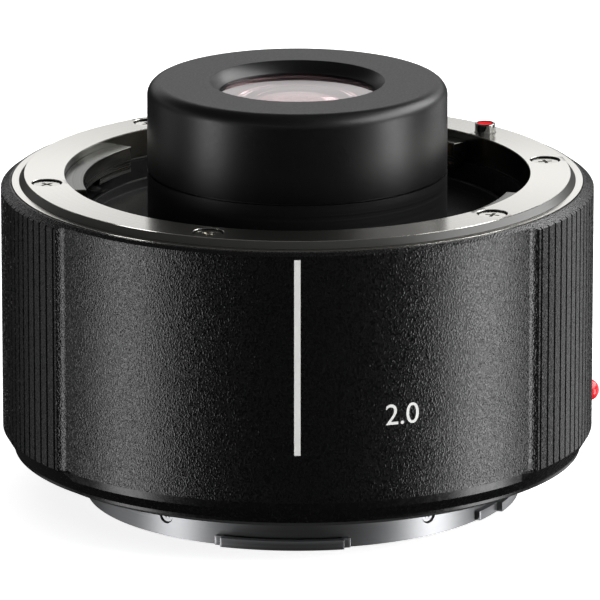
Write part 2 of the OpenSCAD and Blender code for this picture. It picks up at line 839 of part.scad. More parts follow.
// Tube of the two front pairs, which stands in the flange of the rear cell
module front_cell() color("#19191a")
  difference() {
    bar(cell_r, cell_seat_z, lip_bottom - push_fit);
    bar(front_lens_r + lens_fit, lens_3_rim, nose_tip);
    bar(second_lens_r + lens_fit, stop_top - stop_t, lens_3_rim + join);
    bar(mid_bore_r, cell_seat_z - over, stop_top);
  }

// Tube of the two rear pairs, with the flange that is screwed to the frame
module rear_cell() color("#19191a")
  difference() {
    union() {
      bar(optics_flange_r, optics_flange_bottom, optics_flange_top);
      bar(rear_cell_r, optics_bottom, optics_flange_bottom + join);
    }
    bar(cell_r + lens_fit, cell_seat_z, optics_flange_top + over);
    bar(mid_bore_r, optics_bottom, optics_flange_top);
    bar(third_lens_r + lens_fit, optics_bottom, lens_5_rim);
    bar(rear_lens_r + lens_fit, optics_bottom, lens_7_rim);
    bar(lock_ring_r + lens_fit, optics_bottom - over, lens_8_back);
    at_optics_screws() shank_hole(optics_screw);
    front_flex_slot(frame_bore_r);
  }

module at_optics_screws()
  for (angle = inner_screw_angles)
    at_angle(angle, optics_screw_r, optics_flange_top + optics_screw[1]) children();

module optics_shim() color("#c2a868")
  difference() {
    ring(shelf_bore_r, optics_flange_r, shelf_top, optics_flange_bottom);
    at_optics_screws() shank_hole(optics_screw);
    front_flex_slot(frame_bore_r);
  }

module optics_screws() color("#3a3a3c")
  at_optics_screws() screw(optics_screw);

module lens_1() color("#c9b8c4")
  lens(front_lens_r, lens_1_rim, lens_2_rim, ball_1, -ball_1_2);

module lens_2() color("#c3ccd4")
  lens(lens_2_r, lens_2_rim - cement_gap, lens_2_back, ball_1_2, ball_2);

module lens_3() color("#c3ccd4")
  lens(lens_3_r, lens_3_rim, lens_4_rim + cement_gap, ball_3, ball_3_4);

module lens_4() color("#c3ccd4")
  lens(second_lens_r, lens_4_rim, stop_top, -ball_3_4, -ball_4);

module lens_5() color("#c3ccd4")
  lens(third_lens_r, lens_5_rim, lens_6_rim, -ball_5, -ball_5_6);

module lens_6() color("#c3ccd4")
  lens(lens_6_r, lens_6_rim - cement_gap, lens_6_back, ball_5_6, ball_6);

module lens_7() color("#c3ccd4")
  lens(rear_lens_r, lens_7_rim, lens_8_rim, -ball_7, -ball_7_8);

module lens_8() color("#c9b8c4")
  lens(lens_8_r, lens_8_rim - cement_gap, lens_8_back, ball_7_8, ball_8);

module front_spacer() color("#202020") {
  bore_r = front_lens_r - spacer_wall;
  ring(bore_r, front_lens_r,
    lens_3_rim + rise(ball_3, lens_3_r, bore_r) + rest_gap,
    lens_2_back - rise(ball_2, lens_2_r, bore_r) - rest_gap);
}

module light_stop() color("#101010")
  ring(stop_r, second_lens_r, stop_top - stop_t, stop_top);

module rear_spacer() color("#202020") {
  bore_r = third_lens_r - spacer_wall;
  ring(bore_r, third_lens_r,
    lens_7_rim - rise(ball_7, rear_lens_r - hollow_land, third_lens_r) + rest_gap,
    lens_6_back - rise(ball_6, lens_6_r, bore_r) - rest_gap);
}

module rear_lock_ring() color("#202020") {
  bore_r = rear_lens_r - spacer_wall;
  top = lens_8_back - rise(ball_8, lens_8_r, bore_r) - rest_gap;
  difference() {
    ring(bore_r, lock_ring_r, top - lock_ring_t, top);
    for (side = [0, 180])
      at_angle(side, bore_r)
        box([-over, -0.5, top - lock_ring_t - over], [lock_ring_r, 0.5, top - lock_ring_t + 0.5]);
  }
}

// Lens lock

module lock_pin() color("#bdbcb8")
  at_angle(pin_angle, pin_circle_r) {
    top = seat_z + pin_proud;
    difference() {
      union() {
        rotate_extrude() polygon([
          [0, collar_top - join], [pin_r, collar_top - join], [pin_r, top - edge], [pin_r - edge, top], [0, top]
        ]);
        bar(collar_r, collar_top - collar_t, collar_top);
        bar(stem_r, stem_bottom, collar_top);
      }
      bar(dot_r, top - dot_depth, top + over);
    }
  }

module lock_pin_dot() color("#d01018")
  at_angle(pin_angle, pin_circle_r) {
    top = seat_z + pin_proud;
    bar(dot_r - rest_gap, top - dot_depth, top - join);
  }

// Points of the coil: rings of six round the wire, eight rings a turn
coil_sides = 6;
coil_rings = round(spring_coils * 8);
coil_r = stem_r + spring_wire / 2 + 0.35;
coil_pitch = (spring_h - 2 * rest_gap - spring_wire) / coil_rings * 8;
function coil_point(ring, side) =
  let (turn = ring * 45, lean = side * 360 / coil_sides, out = coil_r + spring_wire / 2 * cos(lean))
  [out * cos(turn), out * sin(turn), ring * coil_pitch / 8 + spring_wire / 2 * sin(lean)];
coil_points = [for (ring = [0:coil_rings], side = [0:coil_sides - 1]) coil_point(ring, side)];
function coil_index(ring, side) = ring * coil_sides + side % coil_sides;
coil_faces = concat(
  [for (side = [1:coil_sides - 2]) [0, side, side + 1]],
  [for (side = [1:coil_sides - 2])
    [coil_index(coil_rings, 0), coil_index(coil_rings, side + 1), coil_index(coil_rings, side)]],
  [for (ring = [0:coil_rings - 1], side = [0:coil_sides - 1])
    [coil_index(ring, side), coil_index(ring + 1, side), coil_index(ring + 1, side + 1)]],
  [for (ring = [0:coil_rings - 1], side = [0:coil_sides - 1])
    [coil_index(ring, side), coil_index(ring + 1, side + 1), coil_index(ring, side + 1)]]
);

// Least gap between neighbouring turns, measured on the coil's points
coil_gap = min([
  for (near = [0:coil_sides - 1], far = [0:coil_sides - 1], ring = [7:9])
    norm(coil_point(ring, far) - coil_point(0, near))
]);
echo(least_gap_of_lock_spring = coil_gap);

module lock_spring() color("#9c9c98")
  at_angle(pin_angle, pin_circle_r, lug_top + rest_gap + spring_wire / 2)
    polyhedron(coil_points, coil_faces);

module release_plate() color("#8f8f8c")
  rotate([0, 0, pin_angle])
    difference() {
      union() {
        box([pin_circle_r - pin_r - over, -plate_half_w, plate_top - plate_t],
          [plate_leg_r, plate_half_w, plate_top]);
        box([plate_leg_r - plate_t, -lever_stem_half_w, lever_stem_bottom],
          [plate_leg_r, lever_stem_half_w, plate_top - join]);
      }
      translate([pin_circle_r, 0, 0]) bar(pin_r + push_fit, 0, seat_z);
      at_lever_screw() shank_hole(lever_screw_size);
    }

module at_lever_screw()
  translate([plate_leg_r - plate_t - lever_screw_size[1], 0, lever_stem_middle])
    rotate([0, -90, 0]) children();

module lever_screw() color("#77777a")
  rotate([0, 0, pin_angle]) at_lever_screw() screw(lever_screw_size);

module release_lever() color("#232324") {
  low = lever_middle - lever_h / 2;
  high = lever_middle + lever_h / 2;
  outer_r = barrel_r + lever_proud;
  ridge_count = 4;
  rotate([0, 0, pin_angle])
    difference() {
      union() {
        sector(barrel_r + slide_gap, outer_r, low, high, -lever_half_angle, lever_half_angle);
        box([plate_leg_r, -lever_stem_half_w, lever_stem_bottom],
          [barrel_r + slide_gap + lever_ridge, lever_stem_half_w, lever_stem_bottom + lever_stem_h]);
      }
      for (i = [1:ridge_count])
        let (middle = low + lever_h * i / (ridge_count + 1))
          ring(outer_r - lever_ridge, outer_r + over, middle - lever_ridge, middle + lever_ridge);
      at_lever_screw() shank_hole(lever_screw_size);
    }
}

// Electronics

module at_board_screws()
  for (angle = inner_screw_angles)
    at_angle(angle, board_screw_r, board_bottom - small_screw[1]) mirror([0, 0, 1]) children();

module circuit_board() color("#1f5b3a")
  difference() {
    ring(board_in_r, board_out_r, board_bottom, board_shelf_bottom);
    at_board_screws() shank_hole(small_screw);
  }

// Chips under the board: angle, length and width of each
chips = [[200, 5, 5], [232, 3, 4], [310, 4, 3], [340, 1.2, 2], [180, 1, 1.6], [170, 1, 1.6], [60, 1.2, 2]];
module board_chips() color("#18181a")
  for (chip = chips)
    at_angle(chip[0], (board_in_r + board_screw_r) / 2, board_bottom - chip_t)
      box([-chip[1] / 2, -chip[2] / 2, 0], [chip[1] / 2, chip[2] / 2, chip_t]);

module board_screws() color("#8a8a8c")
  at_board_screws() screw(small_screw);

// Lead under the front contacts, with a strip down to the board
module front_flex() color("#a8652c") {
  flat_bottom = block_bottom - flex_t;
  sector(block_in_r, block_out_r, flat_bottom, block_bottom,
    contact_middle - block_half_angle, contact_middle + block_half_angle);
  box([-flex_half_w, block_out_r - over, flat_bottom], [flex_half_w, front_flex_y + flex_t, block_bottom]);
  box([-flex_half_w, front_flex_y, board_shelf_bottom], [flex_half_w, front_flex_y + flex_t, block_bottom]);
}

module rear_flex() color("#a8652c")
  box([-flex_half_w, rear_flex_y, rear_block_top], [flex_half_w, rear_flex_y + flex_t, board_bottom]);

outer_barrel();
index_line();
index_dome();
base_ring();
mount_seal();
lens_ring();
lens_ring_screws();
bayonet_spring();
ring_gasket();
camera_bayonet();
camera_bayonet_screws();
rear_baffle();
rear_baffle_screws();
rear_contact_block();
rear_contacts();
main_frame();
throat_floor();
throat_floor_screws();
front_contact_block();
contact_pins();
contact_springs();
nose_cap();
nose_sleeve();
front_cell();
rear_cell();
optics_shim();
optics_screws();
lens_1();
lens_2();
lens_3();
lens_4();
lens_5();
lens_6();
lens_7();
lens_8();
front_spacer();
light_stop();
rear_spacer();
rear_lock_ring();
lock_pin();
lock_pin_dot();
lock_spring();
release_lever();
release_plate();
lever_screw();
circuit_board();
board_chips();
board_screws();
front_flex();
rear_flex();
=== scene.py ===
# %% [markdown]
# # A teleconverter between a camera and a lens
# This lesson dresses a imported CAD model: a short black barrel with a bayonet at each end and a dark nose
# that reaches into the lens. The CAD model holds every size. Blender adds what the eye needs: soft edges,
# grain, plating, paint and light.

import json
import math

import bmesh
import bpy
from mathutils import Matrix, Vector


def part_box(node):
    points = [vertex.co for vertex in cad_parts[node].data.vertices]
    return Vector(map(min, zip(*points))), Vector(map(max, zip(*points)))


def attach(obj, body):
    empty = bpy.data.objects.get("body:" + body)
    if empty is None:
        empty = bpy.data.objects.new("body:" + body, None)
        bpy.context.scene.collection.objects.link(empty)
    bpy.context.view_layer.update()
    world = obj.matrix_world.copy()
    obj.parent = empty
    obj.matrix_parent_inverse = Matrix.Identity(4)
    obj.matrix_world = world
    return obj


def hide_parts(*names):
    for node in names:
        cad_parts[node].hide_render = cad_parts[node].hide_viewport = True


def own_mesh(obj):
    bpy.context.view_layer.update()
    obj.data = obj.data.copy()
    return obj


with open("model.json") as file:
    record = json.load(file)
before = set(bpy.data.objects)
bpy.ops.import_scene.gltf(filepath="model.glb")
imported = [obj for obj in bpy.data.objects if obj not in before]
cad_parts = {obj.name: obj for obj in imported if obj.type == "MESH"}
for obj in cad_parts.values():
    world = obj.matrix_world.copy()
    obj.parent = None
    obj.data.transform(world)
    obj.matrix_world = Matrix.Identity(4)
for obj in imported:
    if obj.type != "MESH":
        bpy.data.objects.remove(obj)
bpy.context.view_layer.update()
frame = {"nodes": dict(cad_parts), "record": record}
nodes = frame["nodes"]
MM = 0.001

# %% [markdown]
# ## Camera
# The picture was taken with a long lens from about 15 degrees above the seat face, so the ring is a flat
# ellipse and the barrel's sides stay almost parallel. The distance and the lens were worked out from the
# ring's two ellipses. A small sideways shift puts the object where it is in the frame.

# %% Camera
PICTURE_SIZE = 600
CAMERA_TILT = 15.276
CAMERA_PLACE = (0, -0.973245, 0.2846)
CAMERA_LENS = 496.66
SHIFT_PIXELS = 2.65

bpy.ops.object.camera_add(location=CAMERA_PLACE, rotation=(math.radians(90 - CAMERA_TILT), 0, 0))
camera = bpy.context.object
camera.data.lens = CAMERA_LENS
camera.data.shift_x = SHIFT_PIXELS / PICTURE_SIZE
bpy.context.scene.camera = camera
bpy.context.scene.view_settings.view_transform = "Standard"
print("camera with a", camera.data.lens, "mm lens")

# %% [markdown]
# ## Node and colour helpers
# Colours are written as the hex values that a picture shows, and one function turns them into the linear
# values that a shader needs. Materials and the world are both made of nodes, so one function adds a node,
# sets its values and links its inputs. A value is a setting or a socket by its name, or a socket by its
# number where several share a name.

# %% Node and colour helpers
def linear(code):
    """Linear RGBA of a colour such as "#20A0F0"."""
    channels = [int(code[i:i + 2], 16) / 255 for i in (1, 3, 5)]
    lit = [c / 12.92 if c <= 0.04045 else ((c + 0.055) / 1.055) ** 2.4 for c in channels]
    return (*lit, 1)


def add_node(tree, kind, values=None, links=None):
    """Adds a shader node, sets its settings and sockets, and links sockets to outputs or whole nodes."""
    node = tree.nodes.new("ShaderNode" + kind)
    for name, value in (values or {}).items():
        if isinstance(name, str) and hasattr(node, name):
            setattr(node, name, value)
        else:
            node.inputs[name].default_value = value
    for name, source in (links or {}).items():
        output = source.outputs[0] if hasattr(source, "outputs") else source
        tree.links.new(output, node.inputs[name])
    return node


print("mid grey is", [round(c, 3) for c in linear("#808080")])

# %% [markdown]
# ## World
# A product studio has a lit backdrop, a dark ceiling and a dark space below the table edge. Level faces
# mirror the backdrop, and upright walls, seen from above, mirror the dark space: that keeps the barrel black
# and the ring bright. The camera's side is dimmer. The camera and glass see plain white. Matt surfaces get a
# weak even light, so that the lamps do the modelling.

# %% World
AMBIENT = 0.3
BACKDROP = 1.25
CAMERA_SIDE = 0.35
CEILING = 0.1
UNDERSIDE = 0.02
# Parts of a direction's length, upwards or backwards, over which one level turns into the next
HORIZON_RISE = (0.1, 0.25)
CEILING_RISE = (0.27, 0.5)
BACKDROP_REACH = (0.75, 0.96)

world = bpy.data.worlds.new("studio")
world.use_nodes = True
world.cycles.sampling_method = "NONE"
bpy.context.scene.world = world
tree = world.node_tree
tree.nodes.clear()
direction = add_node(tree, "TexCoord")
split = add_node(tree, "SeparateXYZ", links={"Vector": direction.outputs["Generated"]})
levels = []
for axis, (start, end), (first, last) in (
        ("Z", HORIZON_RISE, (0, 1)),
        ("Z", CEILING_RISE, (1, CEILING)),
        ("Y", BACKDROP_REACH, (CAMERA_SIDE, BACKDROP))):
    level = add_node(
        tree, "MapRange",
        {"interpolation_type": "SMOOTHSTEP", "From Min": start, "From Max": end,
         "To Min": first, "To Max": last},
        {"Value": split.outputs[axis]})
    levels.append(level)
above_horizon, below_ceiling, front_to_back = levels
band = add_node(tree, "Math", {"operation": "MULTIPLY"}, {0: above_horizon, 1: below_ceiling})
studio = add_node(tree, "Math", {"operation": "MULTIPLY_ADD", 2: UNDERSIDE}, {0: band, 1: front_to_back})
ray = add_node(tree, "LightPath")
WHITE = linear("#FFFFFF")
even = add_node(tree, "Background", {"Color": WHITE, "Strength": AMBIENT})
mirrored = add_node(tree, "Background", {"Color": WHITE}, {"Strength": studio})
white = add_node(tree, "Background", {"Color": WHITE})
seen = add_node(
    tree, "Math", {"operation": "MAXIMUM"},
    {0: ray.outputs["Is Camera Ray"], 1: ray.outputs["Is Transmission Ray"]})
unseen_mix = add_node(tree, "MixShader", links={0: ray.outputs["Is Glossy Ray"], 1: even, 2: mirrored})
seen_mix = add_node(tree, "MixShader", links={0: seen, 1: unseen_mix, 2: white})
add_node(tree, "OutputWorld", links={"Surface": seen_mix})
print("world of", len(tree.nodes), "nodes")

# %% [markdown]
# ## Lamps
# Two softboxes at the left and right draw the broad upright highlights. They reach below the table, because
# an upright wall seen from above mirrors what is lower than itself. A wide softbox, higher at the right,
# lights the sloping edges on that side, and dim sheets at the back give the grips their rims of light. A
# sheet above the backdrop lights the matt level faces and the floor, and is hidden from mirrors, because it
# would turn the front of the ring grey.

# %% Lamps
LAMP_AIM = Vector((0, 0, 0.02))
# Watts for each square metre of lamp that look white in a mirror
WHITE_POWER = 4


def softbox(name, azimuth, distance, centre_z, width, height, radiance):
    """Area lamp at an azimuth from the camera's side, facing the object; radiance 1 is white."""
    turn = math.radians(azimuth - 90)
    place = Vector((distance * math.cos(turn), distance * math.sin(turn), centre_z))
    bpy.ops.object.light_add(type="AREA", location=place)
    lamp = bpy.context.object
    lamp.name = name
    lamp.rotation_euler = (LAMP_AIM - place).to_track_quat("-Z", "Y").to_euler()
    lamp.visible_camera = False
    lamp.data.shape = "RECTANGLE"
    lamp.data.size = width
    lamp.data.size_y = height
    lamp.data.energy = WHITE_POWER * radiance * width * height


softbox("left_softbox", -69, 0.8, -0.17, 0.26, 0.7, 3.6)
softbox("left_back_sheet", -114, 0.9, -0.2, 0.35, 0.6, 0.32)
softbox("right_softbox", 78, 0.8, -0.2, 0.3, 0.6, 5)
softbox("upper_right_softbox", 95, 0.6, 0.45, 1.2, 0.4, 4.5)
softbox("right_back_sheet", 132, 0.9, -0.2, 0.5, 0.6, 0.8)
softbox("overhead_sheet", 180, 0.65, 0.95, 1.2, 0.8, 0.5)
bpy.data.objects["overhead_sheet"].visible_glossy = False

# %% [markdown]
# ## Floor
# The converter stands on its spigot on a white table. The floor takes the lamps' soft shadow, and plain
# white is added for the camera alone, so that the lit part reaches the white of the picture. The metal
# mirrors the world and not the table. Seen from below the table is clear, so that the underside shows.

# %% Floor
FLOOR_SIZE = 12
FLOOR_LIFT = 0.8

spigot_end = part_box("camera_bayonet")[0].z
bpy.ops.mesh.primitive_plane_add(size=FLOOR_SIZE, location=(0, 0, spigot_end))
floor = bpy.context.object
floor.name = "floor"
floor.visible_glossy = False
floor.visible_shadow = False

table = bpy.data.materials.new("white table")
table.use_nodes = True
tree = table.node_tree
tree.nodes.clear()
matt = add_node(tree, "BsdfDiffuse", {"Color": linear("#F2F2F2")})
ray = add_node(tree, "LightPath")
lift = add_node(tree, "Math", {"operation": "MULTIPLY", 1: FLOOR_LIFT}, {0: ray.outputs["Is Camera Ray"]})
glow = add_node(tree, "Emission", {"Color": WHITE}, {"Strength": lift})
both = add_node(tree, "AddShader", links={0: matt, 1: glow})
side = add_node(tree, "NewGeometry")
clear = add_node(tree, "BsdfTransparent")
one_sided = add_node(tree, "MixShader", links={0: side.outputs["Backfacing"], 1: both, 2: clear})
add_node(tree, "OutputMaterial", links={"Surface": one_sided})
floor.data.materials.append(table)
print("floor at", round(spigot_end / MM, 2), "mm")

# %% [markdown]
# ## Finishes
# Each finish is named for the real material and the way its surface was made. It has a pattern whose scale
# comes from a real size in millimetres: an even grain, or the circles that a lathe leaves. The pattern sets
# the bump, the roughness and a slight change of colour together, because on a real surface all three come
# from the same pits and ridges.

# %% Helpers for finishes
# Noise is rarely lower or higher than this
PATTERN_RANGE = (0.3, 0.7)


def start_finish(name, metallic, inputs=None):
    """New material; gives the material, its tree, its shader and the place on the piece."""
    material = bpy.data.materials.new(name)
    material.use_nodes = True
    tree = material.node_tree
    shader = tree.nodes["Principled BSDF"]
    for socket, value in {"Metallic": metallic, **(inputs or {})}.items():
        shader.inputs[socket].default_value = value
    place = add_node(tree, "TexCoord").outputs["Object"]
    print("finish:", name)
    return material, tree, shader, place


def add_grain(tree, place, grain_mm, stretch=(1, 1, 1), detail=2):
    """Noise whose grains have a real width."""
    mapped = add_node(tree, "Mapping", {"Scale": stretch}, {"Vector": place})
    return add_node(tree, "TexNoise", {"Scale": 1 / (grain_mm * MM), "Detail": detail}, {"Vector": mapped})


def add_turning(tree, place, pitch_mm):
    """Circles that a lathe leaves, as noise along radius plus height."""
    flat = add_node(tree, "VectorMath", {"operation": "MULTIPLY", 1: (1, 1, 0)}, {0: place})
    radius = add_node(tree, "VectorMath", {"operation": "LENGTH"}, {0: flat})
    height = add_node(tree, "SeparateXYZ", links={0: place})
    track = add_node(
        tree, "Math", {"operation": "ADD"}, {0: radius.outputs["Value"], 1: height.outputs["Z"]})
    return add_node(
        tree, "TexNoise", {"noise_dimensions": "1D", "Scale": 1 / (pitch_mm * MM), "Detail": 2}, {"W": track})


def dress(tree, shader, pattern, depth_mm, rough, colours):
    """Lets a pattern set the bump, the roughness and the colour of a finish, each from low to high."""
    bump = add_node(tree, "Bump", {"Distance": depth_mm * MM}, {"Height": pattern})
    tree.links.new(bump.outputs["Normal"], shader.inputs["Normal"])
    spread = add_node(
        tree, "MapRange",
        {"From Min": PATTERN_RANGE[0], "From Max": PATTERN_RANGE[1], "To Min": rough[0], "To Max": rough[1]},
        {"Value": pattern})
    tree.links.new(spread.outputs["Result"], shader.inputs["Roughness"])
    tint = add_node(
        tree, "MixRGB", {"Color1": linear(colours[0]), "Color2": linear(colours[1])}, {"Fac": pattern})
    tree.links.new(tint.outputs["Color"], shader.inputs["Base Color"])


def plain_finish(name, metallic, pattern, size_mm, depth_mm, rough, colours, inputs=None):
    """Material with one pattern, which add_grain or add_turning draws at a size."""
    material, tree, shader, place = start_finish(name, metallic, inputs)
    dress(tree, shader, pattern(tree, place, size_mm), depth_mm, rough, colours)
    return material


print("helpers for finishes are ready")

# %% Black crinkle lacquer
# Stoved lacquer that wrinkles as it dries: short upright flecks glint in the highlights and beside them,
# and the rest stays deep black. The wrinkles are cut to their crests, so that the flecks stand apart, and a
# finer grain lies between them. The real grain is about 0.05 mm, drawn at 0.16 mm so that it shows.
WRINKLE_MM = 0.2
WRINKLE_STRETCH = (1, 1, 0.6)
FINE_GRAIN_MM = 0.16
FINE_STRETCH = (1, 1, 0.8)
FINE_SHARE = 0.9
CREST_FROM = (0.42, 0.72)
CREST_TO = (-0.1, 0.35)
LACQUER_DEPTH = 0.034

crinkle_lacquer, tree, shader, place = start_finish("black crinkle lacquer", 0, {"IOR": 1.55})
wrinkles = add_grain(tree, place, WRINKLE_MM, WRINKLE_STRETCH, detail=1)
crests = add_node(
    tree, "MapRange",
    {"interpolation_type": "SMOOTHSTEP", "From Min": CREST_FROM[0], "From Max": CREST_FROM[1],
     "To Min": CREST_TO[0], "To Max": CREST_TO[1]},
    {"Value": wrinkles})
fine_grain = add_grain(tree, place, FINE_GRAIN_MM, FINE_STRETCH, detail=0)
lacquer_skin = add_node(
    tree, "Math", {"operation": "MULTIPLY_ADD", 1: FINE_SHARE}, {0: fine_grain, 2: crests})
dress(tree, shader, lacquer_skin, LACQUER_DEPTH, (0.36, 0.15), ("#050506", "#080809"))

# %% Black satin paint
# Sprayed paint on turned metal: smooth to the eye, with a soft sheen.
satin_paint = plain_finish(
    "black satin paint", 0, add_grain, 0.5, 0.003, (0.22, 0.3), ("#050506", "#080808"))

# %% Blasted and anodised aluminium
# Aluminium blasted with beads and dyed black: an even matt skin that turns grey at a low angle. The beads
# leave dimples of about 0.1 mm, drawn at 0.25 mm so that they show.
black_anodised = plain_finish(
    "blasted black anodised aluminium", 0, add_grain, 0.25, 0.004, (0.34, 0.42), ("#050506", "#080809"))

# %% Clear anodised film
# The sleeve is dyed in the same bath but not blasted: the clear film on it has the high index of alumina.
anodised_film = plain_finish(
    "black anodised film on aluminium", 0, add_turning, 0.25, 0.0008, (0.34, 0.42), ("#050506", "#080809"),
    {"IOR": 1.77})

# %% Blackened plating
# Plating darkened in a bath and wiped: a grey shoulder that still shows the circles of the lathe.
dark_plating = plain_finish(
    "blackened plating on brass", 0, add_turning, 0.2, 0.001, (0.28, 0.36), ("#2A2A28", "#363633"))

# %% Satin chrome on turned brass
# Plated seat ring: warm silver with the fine circles that the lathe left, so the light spreads across them.
# The real circles are about 0.05 mm apart, drawn at 0.2 mm so that they show.
ring_chrome, tree, shader, place = start_finish(
    "satin chrome on turned brass", 1, {"Anisotropic": 0.8, "Anisotropic Rotation": 0.25})
dress(tree, shader, add_turning(tree, place, 0.2), 0.0006, (0.17, 0.22), ("#D4D2CC", "#E0DED8"))
around = add_node(tree, "Tangent", {"direction_type": "RADIAL", "axis": "Z"})
tree.links.new(around.outputs[0], shader.inputs["Tangent"])

# %% Satin nickel
# Plated bayonet: a cooler and darker silver than the seat ring, turned on its outside.
bayonet_nickel = plain_finish(
    "satin nickel plating", 1, add_turning, 0.2, 0.0006, (0.36, 0.44), ("#949597", "#A0A1A3"))

# %% Nickel darkened as painted throat shade
# Inside the throat the same plating is given a dull grey: painted shade for the dim, deep throat.
throat_shade_nickel = plain_finish(
    "nickel plating darkened as throat shade", 1, add_turning, 0.2, 0.0008, (0.2, 0.28), ("#62625E", "#6E6E69"))

# %% Nickel-plated screw steel
# Small screws: bright, with the fine scratches of barrel plating.
screw_nickel = plain_finish(
    "nickel-plated screw steel", 1, add_grain, 0.2, 0.0006, (0.14, 0.2), ("#CCCAC4", "#D8D6D0"))

# %% Hardened pin steel
# Ground and polished pin: a dark mirror that shows the dark side of the studio.
pin_steel = plain_finish(
    "polished hardened steel", 1, add_grain, 0.3, 0.0005, (0.1, 0.16), ("#8C8C8A", "#989896"))

# %% Spring steel
# Drawn wire and rolled leaf: a grey polish with marks along the wire.
spring_steel, tree, shader, place = start_finish("drawn spring steel", 1)
dress(tree, shader, add_grain(tree, place, 0.3, (1, 1, 4)), 0.002, (0.24, 0.38), ("#868683", "#969692"))

# %% Moulded black plastic
# Glass-filled ABS from a spark-eroded mould: matt, with a fine pitted grain.
moulded_plastic = plain_finish(
    "moulded black ABS", 0, add_grain, 0.3, 0.01, (0.44, 0.58), ("#0B0B0C", "#111112"))

# %% Gold plating
# Thin gold over bronze on the contacts: warm and bright, slightly brushed by use.
gold_plating = plain_finish(
    "gold plating on bronze", 1, add_grain, 0.25, 0.001, (0.18, 0.3), ("#D0A858", "#E0BA70"))

# %% Blackened casting
# Magnesium casting under a black conversion coat: dull and slightly lumpy.
black_casting = plain_finish(
    "blackened magnesium casting", 0.3, add_grain, 0.6, 0.024, (0.48, 0.66), ("#171718", "#1F1F20"))

# %% Rolled brass
# Shim stock: yellow, with lines along the rolling direction.
rolled_brass, tree, shader, place = start_finish("rolled brass", 1)
dress(tree, shader, add_grain(tree, place, 0.3, (4, 1, 1)), 0.002, (0.25, 0.38), ("#B0924E", "#C0A25C"))

# %% Rubber
# Moulded seals: the dullest black on the object.
seal_rubber = plain_finish(
    "moulded rubber", 0, add_grain, 0.3, 0.009, (0.58, 0.75), ("#090909", "#0D0D0D"))

# %% Red plastic
# Polished polycarbonate dome: clear red with a small sharp glint.
red_plastic = plain_finish(
    "red polycarbonate", 0, add_grain, 0.4, 0.0005, (0.15, 0.22), ("#D81F2B", "#E02834"))

# %% Red paint
# Paint that fills the end of the lock pin: matt, so that it stays red under a low light from behind.
red_paint = plain_finish(
    "red filled paint", 0, add_grain, 0.3, 0.002, (0.55, 0.7), ("#E00A14", "#EA121C"),
    {"Specular IOR Level": 0.12})

# %% White paint
# Engraving paint: matt white, a little uneven.
white_paint = plain_finish(
    "white filled paint", 0, add_grain, 0.3, 0.002, (0.45, 0.6), ("#D8D8D6", "#E0E0DE"))

# %% Coated glass
# Optical glass with a coating that gives its reflection a pale rose tint.
coated_glass = start_finish("coated optical glass", 0, {
    "Base Color": linear("#F4F0F0"), "Roughness": 0.02, "Transmission Weight": 1, "IOR": 1.62,
    "Coat Weight": 0.5, "Coat IOR": 1.6, "Coat Tint": linear("#F2E2E4")})[0]

# %% Solder mask
# Green lacquer on the circuit board: smooth, with the copper's edges faint under it.
solder_mask = plain_finish(
    "green solder mask", 0, add_grain, 0.5, 0.004, (0.3, 0.45), ("#1A4530", "#225038"))

# %% Polyimide film
# Amber film of the flexible leads: glossy and slightly wavy.
polyimide_film = plain_finish(
    "polyimide film", 0, add_grain, 0.8, 0.004, (0.22, 0.36), ("#844412", "#90501A"))

# %% [markdown]
# ## Finishes of the CAD nodes
# A CAD node whose shape is right keeps it and only gets its finish. The record groups the nodes by material
# slot, so the finishes are handed out by slot.

# %% Finishes of the CAD nodes
FINISH_OF_SLOT = dict(
    textured_black=crinkle_lacquer, smooth_black=satin_paint, white_paint=white_paint, red_paint=red_paint,
    red_plastic=red_plastic, seal_rubber=seal_rubber, plated_mount=ring_chrome, screw_steel=screw_nickel,
    spring_steel=spring_steel, black_plastic=moulded_plastic, gold_contact=gold_plating,
    frame_alloy=black_casting, black_alloy=black_anodised, shim_brass=rolled_brass, coated_glass=coated_glass,
    board=solder_mask, flex=polyimide_film)

for subpart in frame["record"]["subparts"]:
    for held in nodes[subpart["node"]].material_slots:
        held.material = FINISH_OF_SLOT[subpart["material_slot"]]
print(len(FINISH_OF_SLOT), "finishes on", len(nodes), "nodes")

# %% [markdown]
# ## Modelling helpers
# Most pieces of a lens mount come off a lathe, so they are made that way: a profile is drawn by extruding
# one vertex from point to point, and is spun round the optical axis. A narrow bevel then breaks the sharp
# edges, because it is the broken edge that catches the light on real metal. Profiles are in millimetres, as
# (radius, height).

# %% Reading sizes from the CAD nodes
def sizes_of(node):
    """Half the width, the bottom and the top of a CAD node, in millimetres."""
    low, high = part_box(node)
    return round((high.x - low.x) / 2 / MM, 2), round(low.z / MM, 3), round(high.z / MM, 3)


print("radius, bottom and top of the nose:", sizes_of("nose_cap"))

# %% Drawing and spinning a profile
MERGE_DISTANCE = MM / 10000


def arc(centre, radius, start, end, steps):
    """Points of an arc in a profile, from one angle to another in degrees."""
    turns = [math.radians(start + (end - start) * i / steps) for i in range(steps + 1)]
    return [(centre[0] + radius * math.cos(turn), centre[1] + radius * math.sin(turn)) for turn in turns]


def draw_profile(name, points):
    """New piece in edit mode whose mesh is one face with these corners."""
    places = [Vector((radius, 0, height)) * MM for radius, height in points]
    bpy.ops.mesh.primitive_plane_add(size=MM)
    piece = bpy.context.object
    piece.name = name
    bpy.ops.object.mode_set(mode="EDIT")
    bpy.ops.mesh.merge(type="CENTER")
    bpy.ops.transform.translate(value=places[0])
    for last, place in zip(places, places[1:]):
        bpy.ops.mesh.extrude_vertices_move(TRANSFORM_OT_translate={"value": place - last})
    bpy.ops.mesh.select_all(action="SELECT")
    bpy.ops.mesh.edge_face_add()
    return piece


